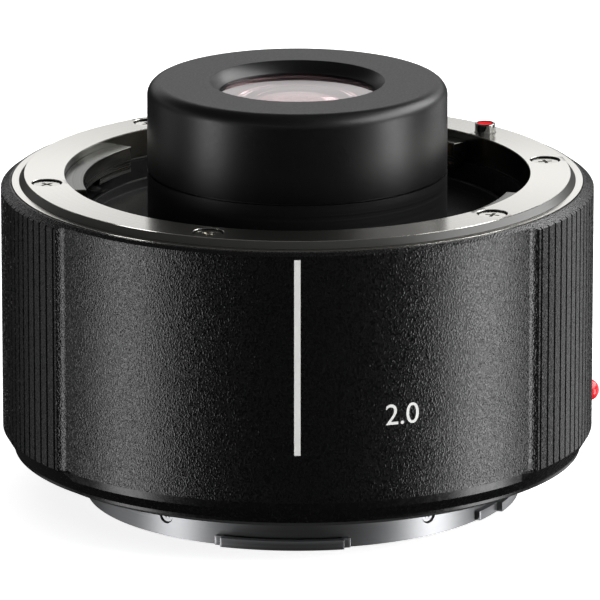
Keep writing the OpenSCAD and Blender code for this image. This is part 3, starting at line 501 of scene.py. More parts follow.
def turned(name, points, degrees=360, steps=240):
    """Lathe piece: a profile spun round the Z axis, against the clock."""
    piece = draw_profile(name, points)
    if degrees == 360:
        bpy.ops.mesh.delete(type="ONLY_FACE")
        bpy.ops.mesh.select_all(action="SELECT")
    bpy.ops.mesh.spin(steps=steps, angle=-math.radians(degrees), center=(0, 0, 0), axis=(0, 0, 1))
    bpy.ops.mesh.select_all(action="SELECT")
    bpy.ops.mesh.remove_doubles(threshold=MERGE_DISTANCE)
    bpy.ops.mesh.normals_make_consistent(inside=False)
    bpy.ops.object.mode_set(mode="OBJECT")
    return piece


def spun_bar(name, radii, heights, degrees=360, steps=240):
    """Lathe piece with a rectangular section between two radii and two heights."""
    (inner, outer), (low, high) = radii, heights
    return turned(name, [(inner, low), (outer, low), (outer, high), (inner, high)], degrees, steps)


print("lathe is ready")

# %% Finishing and placing a piece
# Edges that turn by more than this are broken and shaded as edges
SHARP_ANGLE = math.radians(32)


def apply_modifier(piece, kind, values):
    """Adds a modifier, sets its values and applies it."""
    modifier = piece.modifiers.new(kind.lower(), kind)
    for name, value in values.items():
        setattr(modifier, name, value)
    bpy.context.view_layer.objects.active = piece
    bpy.ops.object.modifier_apply(modifier=modifier.name)


def soften(piece, width, segments=2):
    """Breaks the sharp edges with a bevel of a width in millimetres."""
    apply_modifier(piece, "BEVEL", {
        "width": width * MM, "segments": segments, "limit_method": "ANGLE", "angle_limit": SHARP_ANGLE})
    return piece


def cut(piece, cutter):
    """Takes the cutter's shape out of the piece and removes the cutter."""
    apply_modifier(piece, "BOOLEAN", {"operation": "DIFFERENCE", "object": cutter, "solver": "EXACT"})
    bpy.data.objects.remove(cutter)


def select_only(pieces):
    """Selects these pieces alone and makes the first one active."""
    bpy.ops.object.select_all(action="DESELECT")
    for piece in pieces:
        piece.select_set(True)
    bpy.context.view_layer.objects.active = pieces[0]


def place_piece(piece, angle, radius=0, height=0, tilt=0):
    """Tilts a piece about Y, moves it out to a radius and height, and turns it to an angle."""
    turn = Matrix.Rotation(math.radians(angle), 4, "Z")
    shift = Matrix.Translation(Vector((radius, 0, height)) * MM)
    piece.matrix_world = turn @ shift @ Matrix.Rotation(math.radians(tilt), 4, "Y")
    select_only([piece])
    bpy.ops.object.transform_apply(location=True, rotation=True, scale=True)
    return piece


def join_pieces(pieces):
    """Joins pieces into the first of them."""
    select_only(pieces)
    bpy.ops.object.join()
    return pieces[0]


def hand_over(piece, finish, slot, *replaced, body="converter"):
    """Shades a finished piece, gives it its finish and body, and hides the CAD nodes that it stands for."""
    select_only([piece])
    bpy.ops.object.shade_smooth_by_angle(angle=SHARP_ANGLE)
    apply_modifier(piece, "WEIGHTED_NORMAL", {"keep_sharp": True})
    piece.data.materials.clear()
    piece.data.materials.append(finish)
    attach(piece, body)
    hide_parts(*replaced)
    print(piece.name, "has", len(piece.data.polygons), "faces")


print("modelling helpers are ready")

# %% [markdown]
# ## Barrel
# The barrel is a die-cast tube with two plain panels and two raised grips of narrow ribs, under one coat of
# crinkle lacquer. Its sixty-two grooves could be cut by booleans, but a dense circle is quicker: its
# vertices are selected by angle and scaled towards the axis to make panels, ramps and grooves, and the
# outline is extruded upwards. Lacquer fills the corners, so each groove is rounded. At the bevelled top each
# vertex ends as high as its radius allows, which gives the fine serrated line above the ribs.

# %% Outline of the barrel
OUTLINE_POINTS = 3600
GRIP_HALF_ANGLE = 36.8
RAMP_ANGLE = 2.2
GROOVE_PITCH = 2.4
GROOVE_DEPTH = 0.32
# Share of the depth at the middle of a groove and at the next points of the outline
GROOVE_SHAPE = (1, 0.92, 0.3)

barrel_r, barrel_bottom, barrel_top = sizes_of("outer_barrel")
panel_r = round(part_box("outer_barrel")[1].y / MM, 2)
last_groove = GROOVE_PITCH * math.floor(GRIP_HALF_ANGLE / GROOVE_PITCH)
point_angle = 360 / OUTLINE_POINTS
angle_tolerance = point_angle / 4


def grip_angle(point):
    """Angle of a point from the middle of the nearer grip, in degrees."""
    return math.degrees(math.atan2(abs(point.y), abs(point.x)))


def from_groove(point):
    """Angle of a point from the middle of the nearest groove, or a large one beyond the last groove."""
    angle = grip_angle(point)
    if angle > last_groove + GROOVE_PITCH / 2:
        return 90
    return abs((angle + GROOVE_PITCH / 2) % GROOVE_PITCH - GROOVE_PITCH / 2)


def select_where(piece, test):
    """Selects, in edit mode, the vertices whose place passes a test."""
    mesh = bmesh.from_edit_mesh(piece.data)
    for vertex in mesh.verts:
        vertex.select_set(test(vertex.co))
    mesh.select_flush_mode()
    bmesh.update_edit_mesh(piece.data)


def scale_out(factor):
    """Scales what is selected towards or away from the axis."""
    bpy.ops.transform.resize(value=(factor, factor, 1), center_override=(0, 0, 0))


bpy.ops.mesh.primitive_circle_add(
    vertices=OUTLINE_POINTS, radius=barrel_r * MM, location=(0, 0, barrel_bottom * MM))
shell = bpy.context.object
shell.name = "barrel_shell"
bpy.ops.object.transform_apply(location=True)
bpy.ops.object.mode_set(mode="EDIT")
for step, share in enumerate(GROOVE_SHAPE):
    select_where(shell, lambda p: abs(from_groove(p) - step * point_angle) < angle_tolerance)
    scale_out(1 - share * GROOVE_DEPTH / barrel_r)
select_where(shell, lambda p: grip_angle(p) > GRIP_HALF_ANGLE + RAMP_ANGLE - angle_tolerance)
scale_out(panel_r / barrel_r)
ramp_points = round(RAMP_ANGLE / point_angle)
for step in range(1, ramp_points):
    angle = GRIP_HALF_ANGLE + step * point_angle
    select_where(shell, lambda p: abs(grip_angle(p) - angle) < angle_tolerance)
    fall = 1 - (1 - step / ramp_points) ** 2
    scale_out(1 - fall * (1 - panel_r / barrel_r))
print("outline of", OUTLINE_POINTS, "points with grooves out to", last_groove, "degrees")

# %% Walls of the barrel
TOP_BEVEL_W = 1.05
TOP_BEVEL_H = 0.75
BARREL_BORE_R = 34.35
RIM_POCKET_R = 34.75
RIM_POCKET_DEPTH = 2
# Points that differ by less than this, in millimetres, are taken as level or as equally far out
LEVEL_TOLERANCE = 0.001
RADIUS_TOLERANCE = 0.0006

bevel_z = barrel_top - TOP_BEVEL_H
lip_r = barrel_r - TOP_BEVEL_W
rim_r, ring_bottom, seat_z = sizes_of("lens_ring")
rim_bottom_z = seat_z - RIM_POCKET_DEPTH


def extrude_up(height):
    """Extrudes the selected outline upwards by a height in millimetres."""
    bpy.ops.mesh.extrude_edges_move(TRANSFORM_OT_translate={"value": (0, 0, height * MM)})


def on_level(height):
    """Test for the points at a height in millimetres."""
    return lambda p: abs(p.z - height * MM) < LEVEL_TOLERANCE * MM


bpy.ops.mesh.select_all(action="SELECT")
extrude_up(bevel_z - barrel_bottom)
radii = sorted({round(v.co.xy.length / MM, 3) for v in bmesh.from_edit_mesh(shell.data).verts})
for radius in radii[:-1]:
    select_where(shell, lambda p: on_level(bevel_z)(p) and abs(p.xy.length / MM - radius) < RADIUS_TOLERANCE)
    rise = (barrel_r - radius) * TOP_BEVEL_H / TOP_BEVEL_W
    bpy.ops.transform.translate(value=(0, 0, rise * MM))
bpy.ops.mesh.select_all(action="DESELECT")
bpy.ops.mesh.primitive_circle_add(
    vertices=OUTLINE_POINTS, radius=lip_r * MM, location=(0, 0, barrel_top * MM))
select_where(shell, lambda p: not on_level(barrel_bottom)(p))
bpy.ops.mesh.bridge_edge_loops()
select_where(shell, on_level(barrel_top))
extrude_up(0)
scale_out(RIM_POCKET_R / lip_r)
extrude_up(rim_bottom_z - barrel_top)
extrude_up(0)
scale_out(BARREL_BORE_R / RIM_POCKET_R)
extrude_up(barrel_bottom - rim_bottom_z)
select_where(shell, on_level(barrel_bottom))
bpy.ops.mesh.bridge_edge_loops()
bpy.ops.mesh.select_all(action="SELECT")
bpy.ops.mesh.normals_make_consistent(inside=False)
bpy.ops.object.mode_set(mode="OBJECT")
print("barrel from", barrel_bottom, "to", barrel_top, "mm")

# %% [markdown]
# ## Openings of the barrel
# The stem of the release lever passes through an upright slot at the back right, and the red dome's foot is
# pushed into a round hole. Both go right through, so a box and a cylinder are cut out of the shell.

# %% Openings of the barrel
LOCK_ANGLE = 40
SLOT_HALF_W = 2.45
SLOT_Z = (19.1, 24.0)
DOME_ANGLE = 7.5
DOME_Z = 6.1
DOME_R = 1.37
FOOT_R = 1.02
FOOT_FIT = 0.05
THROUGH = 6


def block(name, size, edge=0):
    """Box of a size in millimetres round the origin, with broken edges if an edge is given."""
    bpy.ops.mesh.primitive_cube_add(size=MM)
    piece = bpy.context.object
    piece.name = name
    piece.scale = size
    bpy.ops.object.transform_apply(scale=True)
    return soften(piece, edge) if edge else piece


slot_cutter = block("slot", (THROUGH, 2 * SLOT_HALF_W, SLOT_Z[1] - SLOT_Z[0]))
cut(shell, place_piece(slot_cutter, LOCK_ANGLE, panel_r, sum(SLOT_Z) / 2))
foot_cutter = spun_bar("foot_hole", (0, FOOT_R + FOOT_FIT), (-THROUGH / 2, THROUGH / 2), steps=32)
cut(shell, place_piece(foot_cutter, DOME_ANGLE, panel_r, DOME_Z, 90))
hand_over(shell, crinkle_lacquer, "textured_black", "outer_barrel")

# %% [markdown]
# ## Index line
# The white line shows where a lens is set down. On the real barrel it is a shallow slot filled with paint. A
# thin strip, spun through the line's width, follows the panel's curve, two hundredths of a millimetre proud
# so that it never sinks into the lacquer.

# %% Index line
PAINT_PROUD = 0.02
LINE_W = 0.75
LINE_DEPTH = 0.15

line_half_angle = math.degrees(LINE_W / 2 / panel_r)
line = spun_bar(
    "index_stripe", (panel_r - LINE_DEPTH, panel_r + PAINT_PROUD),
    sizes_of("index_line")[1:], 2 * line_half_angle, steps=6)
place_piece(line, -90 - line_half_angle)
hand_over(line, white_paint, "white_paint", "index_line")

# %% [markdown]
# ## Magnification numeral
# A plain numeral gives the magnification. It is printed, so it has next to no thickness. A text object in
# Blender's own font is turned into a mesh and wrapped round the panel vertex by vertex, because a flat
# numeral would stand off the barrel at its ends.

# %% Magnification numeral
NUMERAL_MIDDLE = -69.5
NUMERAL_HEIGHT = 2.64
NUMERAL_BOTTOM = 12.7
CAPITAL_SHARE = 0.73

bpy.ops.object.text_add()
numeral = bpy.context.object
numeral.name = "numeral"
numeral.data.body = "2.0"
numeral.data.size = NUMERAL_HEIGHT / CAPITAL_SHARE * MM
numeral.data.align_x = "CENTER"
numeral.data.extrude = PAINT_PROUD * MM
bpy.ops.object.convert(target="MESH")
for vertex in numeral.data.vertices:
    turn = math.radians(NUMERAL_MIDDLE) + vertex.co.x / (panel_r * MM)
    reach = panel_r * MM + vertex.co.z
    height = vertex.co.y + NUMERAL_BOTTOM * MM
    vertex.co = (reach * math.cos(turn), reach * math.sin(turn), height)
hand_over(numeral, white_paint, "white_paint")

# %% [markdown]
# ## Index dome
# A small red dome near the foot of the right grip shows where the converter goes onto the camera. The
# polished half ball and its foot are one profile, spun about Z and tilted so that the axis points out of the
# barrel.

# %% Index dome
FOOT_LENGTH = 1.2

dome = turned("red_dome", [
    (0, -FOOT_LENGTH), (FOOT_R, -FOOT_LENGTH), (FOOT_R, 0), *arc((0, 0), DOME_R, 0, 90, 16)], steps=64)
place_piece(dome, DOME_ANGLE, barrel_r, DOME_Z, 90)
hand_over(dome, red_plastic, "red_plastic", "index_dome")

# %% [markdown]
# ## Lens-side ring
# The bright ring is turned from brass and plated, and a lens sits on its flat face. It is spun from its
# profile with broken edges, and the screw pockets and the hole for the lock pin are cut afterwards.

# %% Lens-side ring
RING_FACE_W = 4.85
STEP_RUN = 0.6
STEP_H = 0.85
RIM_W = 0.9
RIM_T = 1.15
RING_EDGE = 0.03
FACE_LIP = 0.1

rim_top = seat_z - STEP_H
step_r = rim_r - RIM_W
face_r = step_r - STEP_RUN
throat_r = face_r - RING_FACE_W

ring = turned("seat_ring", [
    (throat_r, ring_bottom), (face_r, ring_bottom), (face_r, rim_top - RIM_T), (rim_r, rim_top - RIM_T),
    (rim_r, rim_top), (step_r, rim_top), (face_r, seat_z - FACE_LIP), (face_r, seat_z), (throat_r, seat_z)],
    steps=360)
soften(ring, RING_EDGE)
print("ring with a throat radius of", throat_r)

# %% [markdown]
# ## Screw pockets
# Each screw head lies in a round pocket that is a little wider than the head. A black liner in the gap is
# painted shade for the pocket's shadowed far wall: the dark crescent that the eye sees first. The cutter is a
# cylinder whose upper rim flares, so that the pocket gets its own broken edge.

# %% Screw pockets and pin hole
RING_SCREW_ANGLES = (10.5, 68, 127, 190.5, 250, 319)
RING_SCREW_INSET = 2.45
HEAD_R = 1.7
HEAD_SINK = 0.2
POCKET_R = 1.85
POCKET_DEPTH = 1.4
POCKET_FLARE = 0.04
HOLE_FLARE = 0.05
PIN_R = 1.28
PIN_CIRCLE_R = 30.3
PIN_FIT = 0.06
# How far a cutter goes beyond what it cuts
OVERCUT = 1

ring_screw_r = throat_r + RING_SCREW_INSET


def cut_pockets(piece, radius, depth, flare, angles, *place):
    """Cuts a round pocket with a flared mouth at each angle; place is the mouth's radius, height and tilt."""
    for angle in angles:
        pocket = turned("pocket", [
            (0, -depth), (radius, -depth), (radius, -flare), (radius + 2 * flare, flare), (0, flare)],
            steps=64)
        cut(piece, place_piece(pocket, angle, *place))


cut_pockets(ring, POCKET_R, POCKET_DEPTH, POCKET_FLARE, RING_SCREW_ANGLES, ring_screw_r, seat_z)
pin_depth = seat_z - ring_bottom + OVERCUT
cut_pockets(ring, PIN_R + PIN_FIT, pin_depth, HOLE_FLARE, [LOCK_ANGLE], PIN_CIRCLE_R, seat_z)
hand_over(ring, ring_chrome, "plated_mount", "lens_ring")

# %% [markdown]
# ## Throat and claws
# The throat's wall and its four claws are of the same plated brass as the seat. Their darker grey is painted
# shade for the dim throat. Each claw has a deeper heel at its first end, where a claw of the lens comes to
# rest. The wall is a thin tube just inside the ring, and each claw is spun through its own angle.

# %% Throat and claws
WALL_PROUD = 0.02
WALL_T = 0.2
CLAW_DROP = 0.95
CLAW_IN_R = 25.95
CLAW_EDGE = 0.12
HEEL_DROP = 0.8
HEEL_ANGLE = 17
HEEL_OUT_R = 27.8
LENS_CLAWS = ((42, 93), (142, 192), (234, 281), (323, 346))

claw_top = seat_z - CLAW_DROP
wall_r = throat_r - WALL_PROUD
throat_wall = spun_bar(
    "lens_claws", (wall_r, wall_r + WALL_T), (ring_bottom, seat_z - FACE_LIP), steps=360)
claws = []
for start, end in LENS_CLAWS:
    claw = spun_bar("lens_claw", (CLAW_IN_R, throat_r), (ring_bottom, claw_top), end - start, steps=48)
    heel = spun_bar(
        "claw_heel", (CLAW_IN_R, HEEL_OUT_R), (ring_bottom - HEEL_DROP, ring_bottom + CLAW_EDGE), HEEL_ANGLE,
        steps=16)
    claws.append(place_piece(soften(claw, CLAW_EDGE, 3), start))
    claws.append(place_piece(soften(heel, CLAW_EDGE), start))
join_pieces([throat_wall] + claws)
# The dull grey of the throat's wall and claws is painted shade
hand_over(throat_wall, throat_shade_nickel, "plated_mount")

# %% [markdown]
# ## Black bevel
# The sloping shoulder between the ring's face and its rim is blackened, so that it sends no light into the
# gap round the lens. A thin conical band, spun just over the shoulder, carries the dark plating and keeps
# the edge crisp.

# %% Black bevel
BAND_T = 0.04

band_top = Vector((face_r, seat_z - FACE_LIP))
band_foot = Vector((step_r, rim_top))
along = band_foot - band_top
proud = Vector((-along.y, along.x)).normalized() * BAND_T
band = turned(
    "black_bevel", [band_top - proud, band_foot - proud, band_foot + proud, band_top + proud], steps=360)
hand_over(band, dark_plating, "smooth_black")

# %% [markdown]
# ## Screws
# The screws have low flat heads with a cross recess. Those of the ring lie in black liners, which are painted
# shade for the shadowed walls of their pockets. A screw is spun with a broken edge, and a cross of two boxes
# with tapered arms, like a driver's tip, is cut into its head. It is modelled once for each size and copied
# to every place.

# %% Screws
# Shares of a head's radius and height
HEAD_EDGE = 0.06
ARM_LENGTH = 1.3
ARM_WIDTH = 0.28
ARM_DEPTH = 0.6
ARM_TAPER = (0.55, 0.7, 1)
# Each screw of the ring stops at a turn of its own
RING_SCREW_TURNS = range(3, 243, 40)
# Gap and sink of the black liners that are painted shade in the ring's pockets
SHADE_LINER_GAP = 0.03
SHADE_LINER_SINK = 0.06


def cross_screw(name, head_r, head_h, shank_r, length):
    """Screw along Z with its head's top at height 0."""
    edge = HEAD_EDGE * head_r
    screw = turned(name, [
        (0, 0), (head_r - edge, 0), (head_r, -edge), (head_r, -head_h), (shank_r, -head_h),
        (shank_r, -length), (0, -length)], steps=48)
    for turn in (0, 90):
        arm = block("cross_arm", (ARM_LENGTH * head_r, ARM_WIDTH * head_r, 2 * ARM_DEPTH * head_h))
        bpy.ops.object.mode_set(mode="EDIT")
        select_where(arm, lambda p: p.z < 0)
        bpy.ops.transform.resize(value=ARM_TAPER, center_override=(0, 0, -ARM_DEPTH * head_h * MM))
        bpy.ops.object.mode_set(mode="OBJECT")
        cut(screw, place_piece(arm, turn))
    return screw


def repeated(piece, angles, radius, height=0, tilt=0, turns=None):
    """Copies a piece, each copy with its own mesh and turn, to these angles and joins the copies."""
    copies = []
    for angle, turn in zip(angles, turns or [0] * len(angles)):
        twin = piece.copy()
        twin.data = piece.data.copy()
        bpy.context.scene.collection.objects.link(twin)
        place_piece(twin, turn)
        copies.append(place_piece(twin, angle, radius, height, tilt))
    name = piece.name
    bpy.data.objects.remove(piece)
    copies[0].name = name
    return join_pieces(copies)


ring_screws = repeated(
    cross_screw("ring_screws", HEAD_R, head_h=1.1, shank_r=1, length=5.7),
    RING_SCREW_ANGLES, ring_screw_r, seat_z - HEAD_SINK, turns=RING_SCREW_TURNS)
hand_over(ring_screws, screw_nickel, "screw_steel", "lens_ring_screws")
# The black liners are painted shade for the pockets' shadowed far walls
shade_liner = turned("painted_shade_liners", [
    (HEAD_R + SHADE_LINER_GAP, -POCKET_DEPTH), (POCKET_R, -POCKET_DEPTH), (POCKET_R, -SHADE_LINER_SINK),
    (POCKET_R - SHADE_LINER_GAP, -SHADE_LINER_SINK)], steps=64)
hand_over(repeated(shade_liner, RING_SCREW_ANGLES, ring_screw_r, seat_z), satin_paint, "smooth_black")

# %% [markdown]
# ## Lock pin
# A sprung pin at the back right drops into a hole in the lens's flange, so that the lens can't turn. It is
# turned steel with a red dot of paint in its end. Both are spun on the axis, where they are easiest to draw,
# and moved out to their circle.

# %% Lock pin
PIN_EDGE = 0.18
DOT_R = 1.0
DOT_DEPTH = 0.25
DOT_FIT = 0.02
DOT_LIFT = 0.01
DOT_SINK = 0.05
# The dot is dished: a share of its radius, and how far its top lies lower there
DOT_DISH = ((0.8, 0.03), (0, 0.05))
CUP_EDGE = 0.03
COLLAR_R = 2.2
COLLAR_Z = (24.1, 24.9)
STEM_R = 0.85

_, pin_bottom, pin_top = sizes_of("lock_pin")
pin = turned("lock_pin_body", [
    (0, pin_bottom), (STEM_R, pin_bottom), (STEM_R, COLLAR_Z[0]), (COLLAR_R, COLLAR_Z[0]),
    (COLLAR_R, COLLAR_Z[1]), (PIN_R, COLLAR_Z[1]),
    *arc((PIN_R - PIN_EDGE, pin_top - PIN_EDGE), PIN_EDGE, 0, 90, 4),
    (DOT_R, pin_top - CUP_EDGE), (DOT_R, pin_top - DOT_DEPTH), (0, pin_top - DOT_DEPTH)], steps=64)
hand_over(place_piece(pin, LOCK_ANGLE, PIN_CIRCLE_R), pin_steel, "plated_mount", "lock_pin", body="pin")

dot_low = pin_top - DOT_DEPTH + DOT_LIFT
dot_top = sizes_of("lock_pin_dot")[2] - DOT_SINK
dot = turned("red_dot", [
    (0, dot_low), (DOT_R - DOT_FIT, dot_low), (DOT_R - DOT_FIT, dot_top),
    *[(share * DOT_R, dot_top - drop) for share, drop in DOT_DISH]], steps=48)
hand_over(place_piece(dot, LOCK_ANGLE, PIN_CIRCLE_R), red_paint, "red_paint", "lock_pin_dot", body="pin")

# %% [markdown]
# ## Lock spring
# A small coil spring under the pin's collar pushes the pin out. The wire's circle is drawn once and wound by
# a Screw modifier.

# %% Lock spring
COIL_R = 1.38
WIRE_R = 0.18
COILS = 6
WIRE_SIDES = 12
COIL_STEPS = 32


def wind_springs(name, node, coil_r, wire_r, angles, circle_r):
    """Coil springs in the place of a CAD node."""
    _, low, high = sizes_of(node)
    height = high - low
    bpy.ops.mesh.primitive_circle_add(
        vertices=WIRE_SIDES, radius=wire_r * MM, location=(coil_r * MM, 0, wire_r * MM),
        rotation=(math.radians(90), 0, 0))
    spring = bpy.context.object
    spring.name = name
    bpy.ops.object.transform_apply(location=True, rotation=True)
    bpy.ops.object.mode_set(mode="EDIT")
    bpy.ops.mesh.edge_face_add()
    bpy.ops.object.mode_set(mode="OBJECT")
    apply_modifier(spring, "SCREW", {
        "axis": "Z", "angle": math.tau, "iterations": COILS, "steps": COIL_STEPS, "render_steps": COIL_STEPS,
        "screw_offset": (height - 2 * wire_r) / COILS * MM, "use_merge_vertices": True})
    springs = repeated(spring, angles, circle_r, low)
    hand_over(springs, spring_steel, "spring_steel", node)
    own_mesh(springs)


wind_springs(
    "lock_coil", "lock_spring", COIL_R, WIRE_R, [LOCK_ANGLE], PIN_CIRCLE_R)

# %% [markdown]
# ## Throat floor
# Black plastic closes the throat round the nose, and a low rim on it stops stray light. The rim's edge is
# the one thin line of light in the dark throat. The floor is spun with its rim, and the window for the
# contacts is cut through it at the back.

# %% Throat floor
FLOOR_FIT = 0.2
FLOOR_OUT_R = 27.8
FLOOR_RIM_R = 25.5
FLOOR_RIM_W = 0.6
FLOOR_RIM_H = 1.2
FLOOR_EDGE = 0.15
CONTACT_MIDDLE = 90
WINDOW_HALF_ANGLE = 28.3
WINDOW_R = (19, 22.2)

_, floor_bottom, floor_rim_top = sizes_of("throat_floor")
floor_top = floor_rim_top - FLOOR_RIM_H
nose_r, joint_z, nose_tip = sizes_of("nose_cap")
throat_floor = turned("throat_base", [
    (nose_r + FLOOR_FIT, floor_bottom), (FLOOR_OUT_R, floor_bottom), (FLOOR_OUT_R, floor_top),
    (FLOOR_RIM_R + FLOOR_RIM_W, floor_top), (FLOOR_RIM_R + FLOOR_RIM_W, floor_rim_top),
    (FLOOR_RIM_R, floor_rim_top), (FLOOR_RIM_R, floor_top), (nose_r + FLOOR_FIT, floor_top)])
soften(throat_floor, FLOOR_EDGE)
window = spun_bar(
    "window", WINDOW_R, (floor_bottom - OVERCUT, floor_top + OVERCUT), 2 * WINDOW_HALF_ANGLE, steps=40)
cut(throat_floor, place_piece(window, CONTACT_MIDDLE - WINDOW_HALF_ANGLE))
hand_over(throat_floor, moulded_plastic, "black_plastic", "throat_floor")

# %% [markdown]
# ## Contact pins
# Ten sprung pins at the back of the throat touch the contacts of the lens. Each is a gold-plated pin with a
# round tip and a collar that keeps it in its block. One is spun and copied to its ten places.

# %% Contact pins
CONTACT_COUNT = 10
CONTACT_PITCH = 5
CONTACT_R = 0.4
CONTACT_COLLAR_R = 0.6
CONTACT_COLLAR_T = 0.5
CONTACT_CIRCLE_R = 20.6

_, contact_low, contact_high = sizes_of("contact_pins")
collar_top = contact_low + CONTACT_COLLAR_T
contact = turned("gold_pins", [
    (0, contact_low), (CONTACT_COLLAR_R, contact_low), (CONTACT_COLLAR_R, collar_top),
    (CONTACT_R, collar_top), *arc((0, contact_high - CONTACT_R), CONTACT_R, 0, 90, 6)], steps=24)
first_contact = CONTACT_MIDDLE - (CONTACT_COUNT - 1) / 2 * CONTACT_PITCH
contact_angles = [first_contact + i * CONTACT_PITCH for i in range(CONTACT_COUNT)]
contacts = repeated(contact, contact_angles, CONTACT_CIRCLE_R)
hand_over(contacts, gold_plating, "gold_contact", "contact_pins", body="contacts")

# %% [markdown]
# ## Springs of the contacts
# A small coil spring under each contact's collar pushes it out. It is wound like the lock spring and copied
# to the ten places.

# %% Springs of the contacts
CONTACT_COIL_R = 0.42
CONTACT_WIRE_R = 0.08

wind_springs(
    "contact_coils", "contact_springs", CONTACT_COIL_R, CONTACT_WIRE_R, contact_angles, CONTACT_CIRCLE_R)

# %% [markdown]
# ## Nose
# The nose reaches into the lens. Its cap is turned from aluminium with a large rounded edge and a
# funnel-shaped opening for the front glass, and a sleeve carries it. The narrow groove where they meet reads
# as a black line. Both are lathe profiles with a square notch, because a bevelled joint would catch the
# light.

# %% Nose
CAP_ROUND = 1.65
OPENING_R = 10.6
OPENING_IN_R = 9.45
OPENING_DEPTH = 1.3
LIP_T = 0.7
FRONT_WALL_T = 1.8
NOSE_WALL = 1.3
NOTCH_W = 0.13
NOTCH_DEPTH = 0.6
NOSE_EDGE = 0.03
CELL_FIT = 0.1

nose_bore_r = nose_r - NOSE_WALL
cell_bore_r = sizes_of("front_cell")[0] + CELL_FIT
lip_bottom = nose_tip - OPENING_DEPTH - LIP_T
wall_bottom = lip_bottom - FRONT_WALL_T
cap = turned("nose_front", [
    (nose_r - NOTCH_DEPTH, joint_z), (nose_r - NOTCH_DEPTH, joint_z + NOTCH_W), (nose_r, joint_z + NOTCH_W),
    *arc((nose_r - CAP_ROUND, nose_tip - CAP_ROUND), CAP_ROUND, 0, 90, 14),
    (OPENING_R, nose_tip), (OPENING_IN_R, nose_tip - OPENING_DEPTH), (OPENING_IN_R, lip_bottom),
    (cell_bore_r, lip_bottom), (cell_bore_r, wall_bottom), (nose_bore_r, wall_bottom),
    (nose_bore_r, joint_z)])
hand_over(soften(cap, NOSE_EDGE, 1), black_anodised, "black_alloy", "nose_cap")

sleeve_bottom = sizes_of("nose_sleeve")[1]
sleeve = turned("nose_tube", [
    (nose_bore_r, sleeve_bottom), (nose_r, sleeve_bottom), (nose_r, joint_z - NOTCH_W),
    (nose_r - NOTCH_DEPTH, joint_z - NOTCH_W), (nose_r - NOTCH_DEPTH, joint_z), (nose_bore_r, joint_z)])
hand_over(sleeve, anodised_film, "black_alloy", "nose_sleeve")

# %% [markdown]
# ## Front glass
# The front element is a meniscus with a stepped edge: the cap's lip holds its shoulder, and the crown rises
# into the opening. The crown is almost flat, so most of it mirrors the backdrop, and only the strip near
# the far edge mirrors the dark funnel.

# %% Front glass
CROWN_R = 9.3
CROWN_BALL = 150
CROWN_EDGE_Z = 45.0
GLASS_EDGE = 0.08
INNER_BALL = 16
INNER_R = 10.4
SHOULDER_FIT = 0.1

glass_r, glass_bottom, _ = sizes_of("lens_1")
shoulder_z = lip_bottom - SHOULDER_FIT
crown_angle = math.degrees(math.asin(CROWN_R / CROWN_BALL))
crown_centre = (0, CROWN_EDGE_Z - CROWN_BALL * math.cos(math.radians(crown_angle)))
inner_angle = math.degrees(math.asin(INNER_R / INNER_BALL))
inner_centre = (0, glass_bottom - INNER_BALL * math.cos(math.radians(inner_angle)))
glass = turned("front_glass", [
    *arc(inner_centre, INNER_BALL, 90, 90 - inner_angle, 12), (glass_r, glass_bottom), (glass_r, shoulder_z),
    (CROWN_R, shoulder_z), *arc(crown_centre, CROWN_BALL, 90 - crown_angle, 90, 8)], steps=120)
hand_over(soften(glass, GLASS_EDGE), coated_glass, "coated_glass", "lens_1")

# %% [markdown]
# ## Release lever
# The thumb lever at the back right draws the lock pin back. Its profile with four ridges is spun through the
# lever's width, so that it follows the barrel, and a stem joins it to the plate inside.

# %% Release lever
LEVER_HALF_ANGLE = 7.5
LEVER_GAP = 0.25
LEVER_PROUD = 1.9
LEVER_EDGE = 0.25
RIDGE_COUNT = 4
RIDGE_HALF_W = 0.55
RIDGE_DEPTH = 0.45
STEM_X = (33.95, 36.65)
STEM_HALF_W = 2.2
STEM_Z = (20.75, 23.75)

_, lever_low, lever_high = sizes_of("release_lever")
lever_out_r = barrel_r + LEVER_PROUD
ridges = []
for i in range(1, RIDGE_COUNT + 1):
    middle = lever_low + (lever_high - lever_low) * i / (RIDGE_COUNT + 1)
    ridges += [(lever_out_r, middle - RIDGE_HALF_W), (lever_out_r - RIDGE_DEPTH, middle),
               (lever_out_r, middle + RIDGE_HALF_W)]
lever = turned("thumb_lever", [
    (barrel_r + LEVER_GAP, lever_low), (lever_out_r, lever_low), *ridges, (lever_out_r, lever_high),
    (barrel_r + LEVER_GAP, lever_high)], 2 * LEVER_HALF_ANGLE, steps=40)
place_piece(soften(lever, LEVER_EDGE, 3), LOCK_ANGLE - LEVER_HALF_ANGLE)
stem = block("lever_stem", (STEM_X[1] - STEM_X[0], 2 * STEM_HALF_W, STEM_Z[1] - STEM_Z[0]), LEVER_EDGE)
place_piece(stem, LOCK_ANGLE, sum(STEM_X) / 2, sum(STEM_Z) / 2)
hand_over(join_pieces([lever, stem]), satin_paint, "smooth_black", "release_lever", body="release")

# %% [markdown]
# ## Camera-side bayonet
# The spigot goes into the camera, and its four claws are drawn against the camera's mount. It is turned from
# brass and plated with nickel. The profile is spun, and each claw is two spun blocks, a low one a little
# longer than the high one. Pockets for the screws are cut from below and from the side.

# %% Camera-side bayonet
SPIGOT_R = 25.85
SPIGOT_BORE_R = 23.55
SEAT_RELIEF = 0.15
RELIEF_R = 27.3
FLANGE_R = 32.95
FLANGE_LIP = 0.35
SEAL_Z = (0.55, 0.85)
SEAL_IN_R = 32.5
NECK_R = 31.8
BAYONET_EDGE = 0.1
CLAW_Z = (-4.9, -3.7)
CLAW_ROOT = 0.5
LOW_CLAW_R = 26.5
HIGH_CLAW_R = 27.15
CAMERA_CLAWS = ((-33.6, -23.6, 2.4, 4.4), (60, 62, 94, 96), (150, 152, 184, 186), (248, 250, 282, 284))

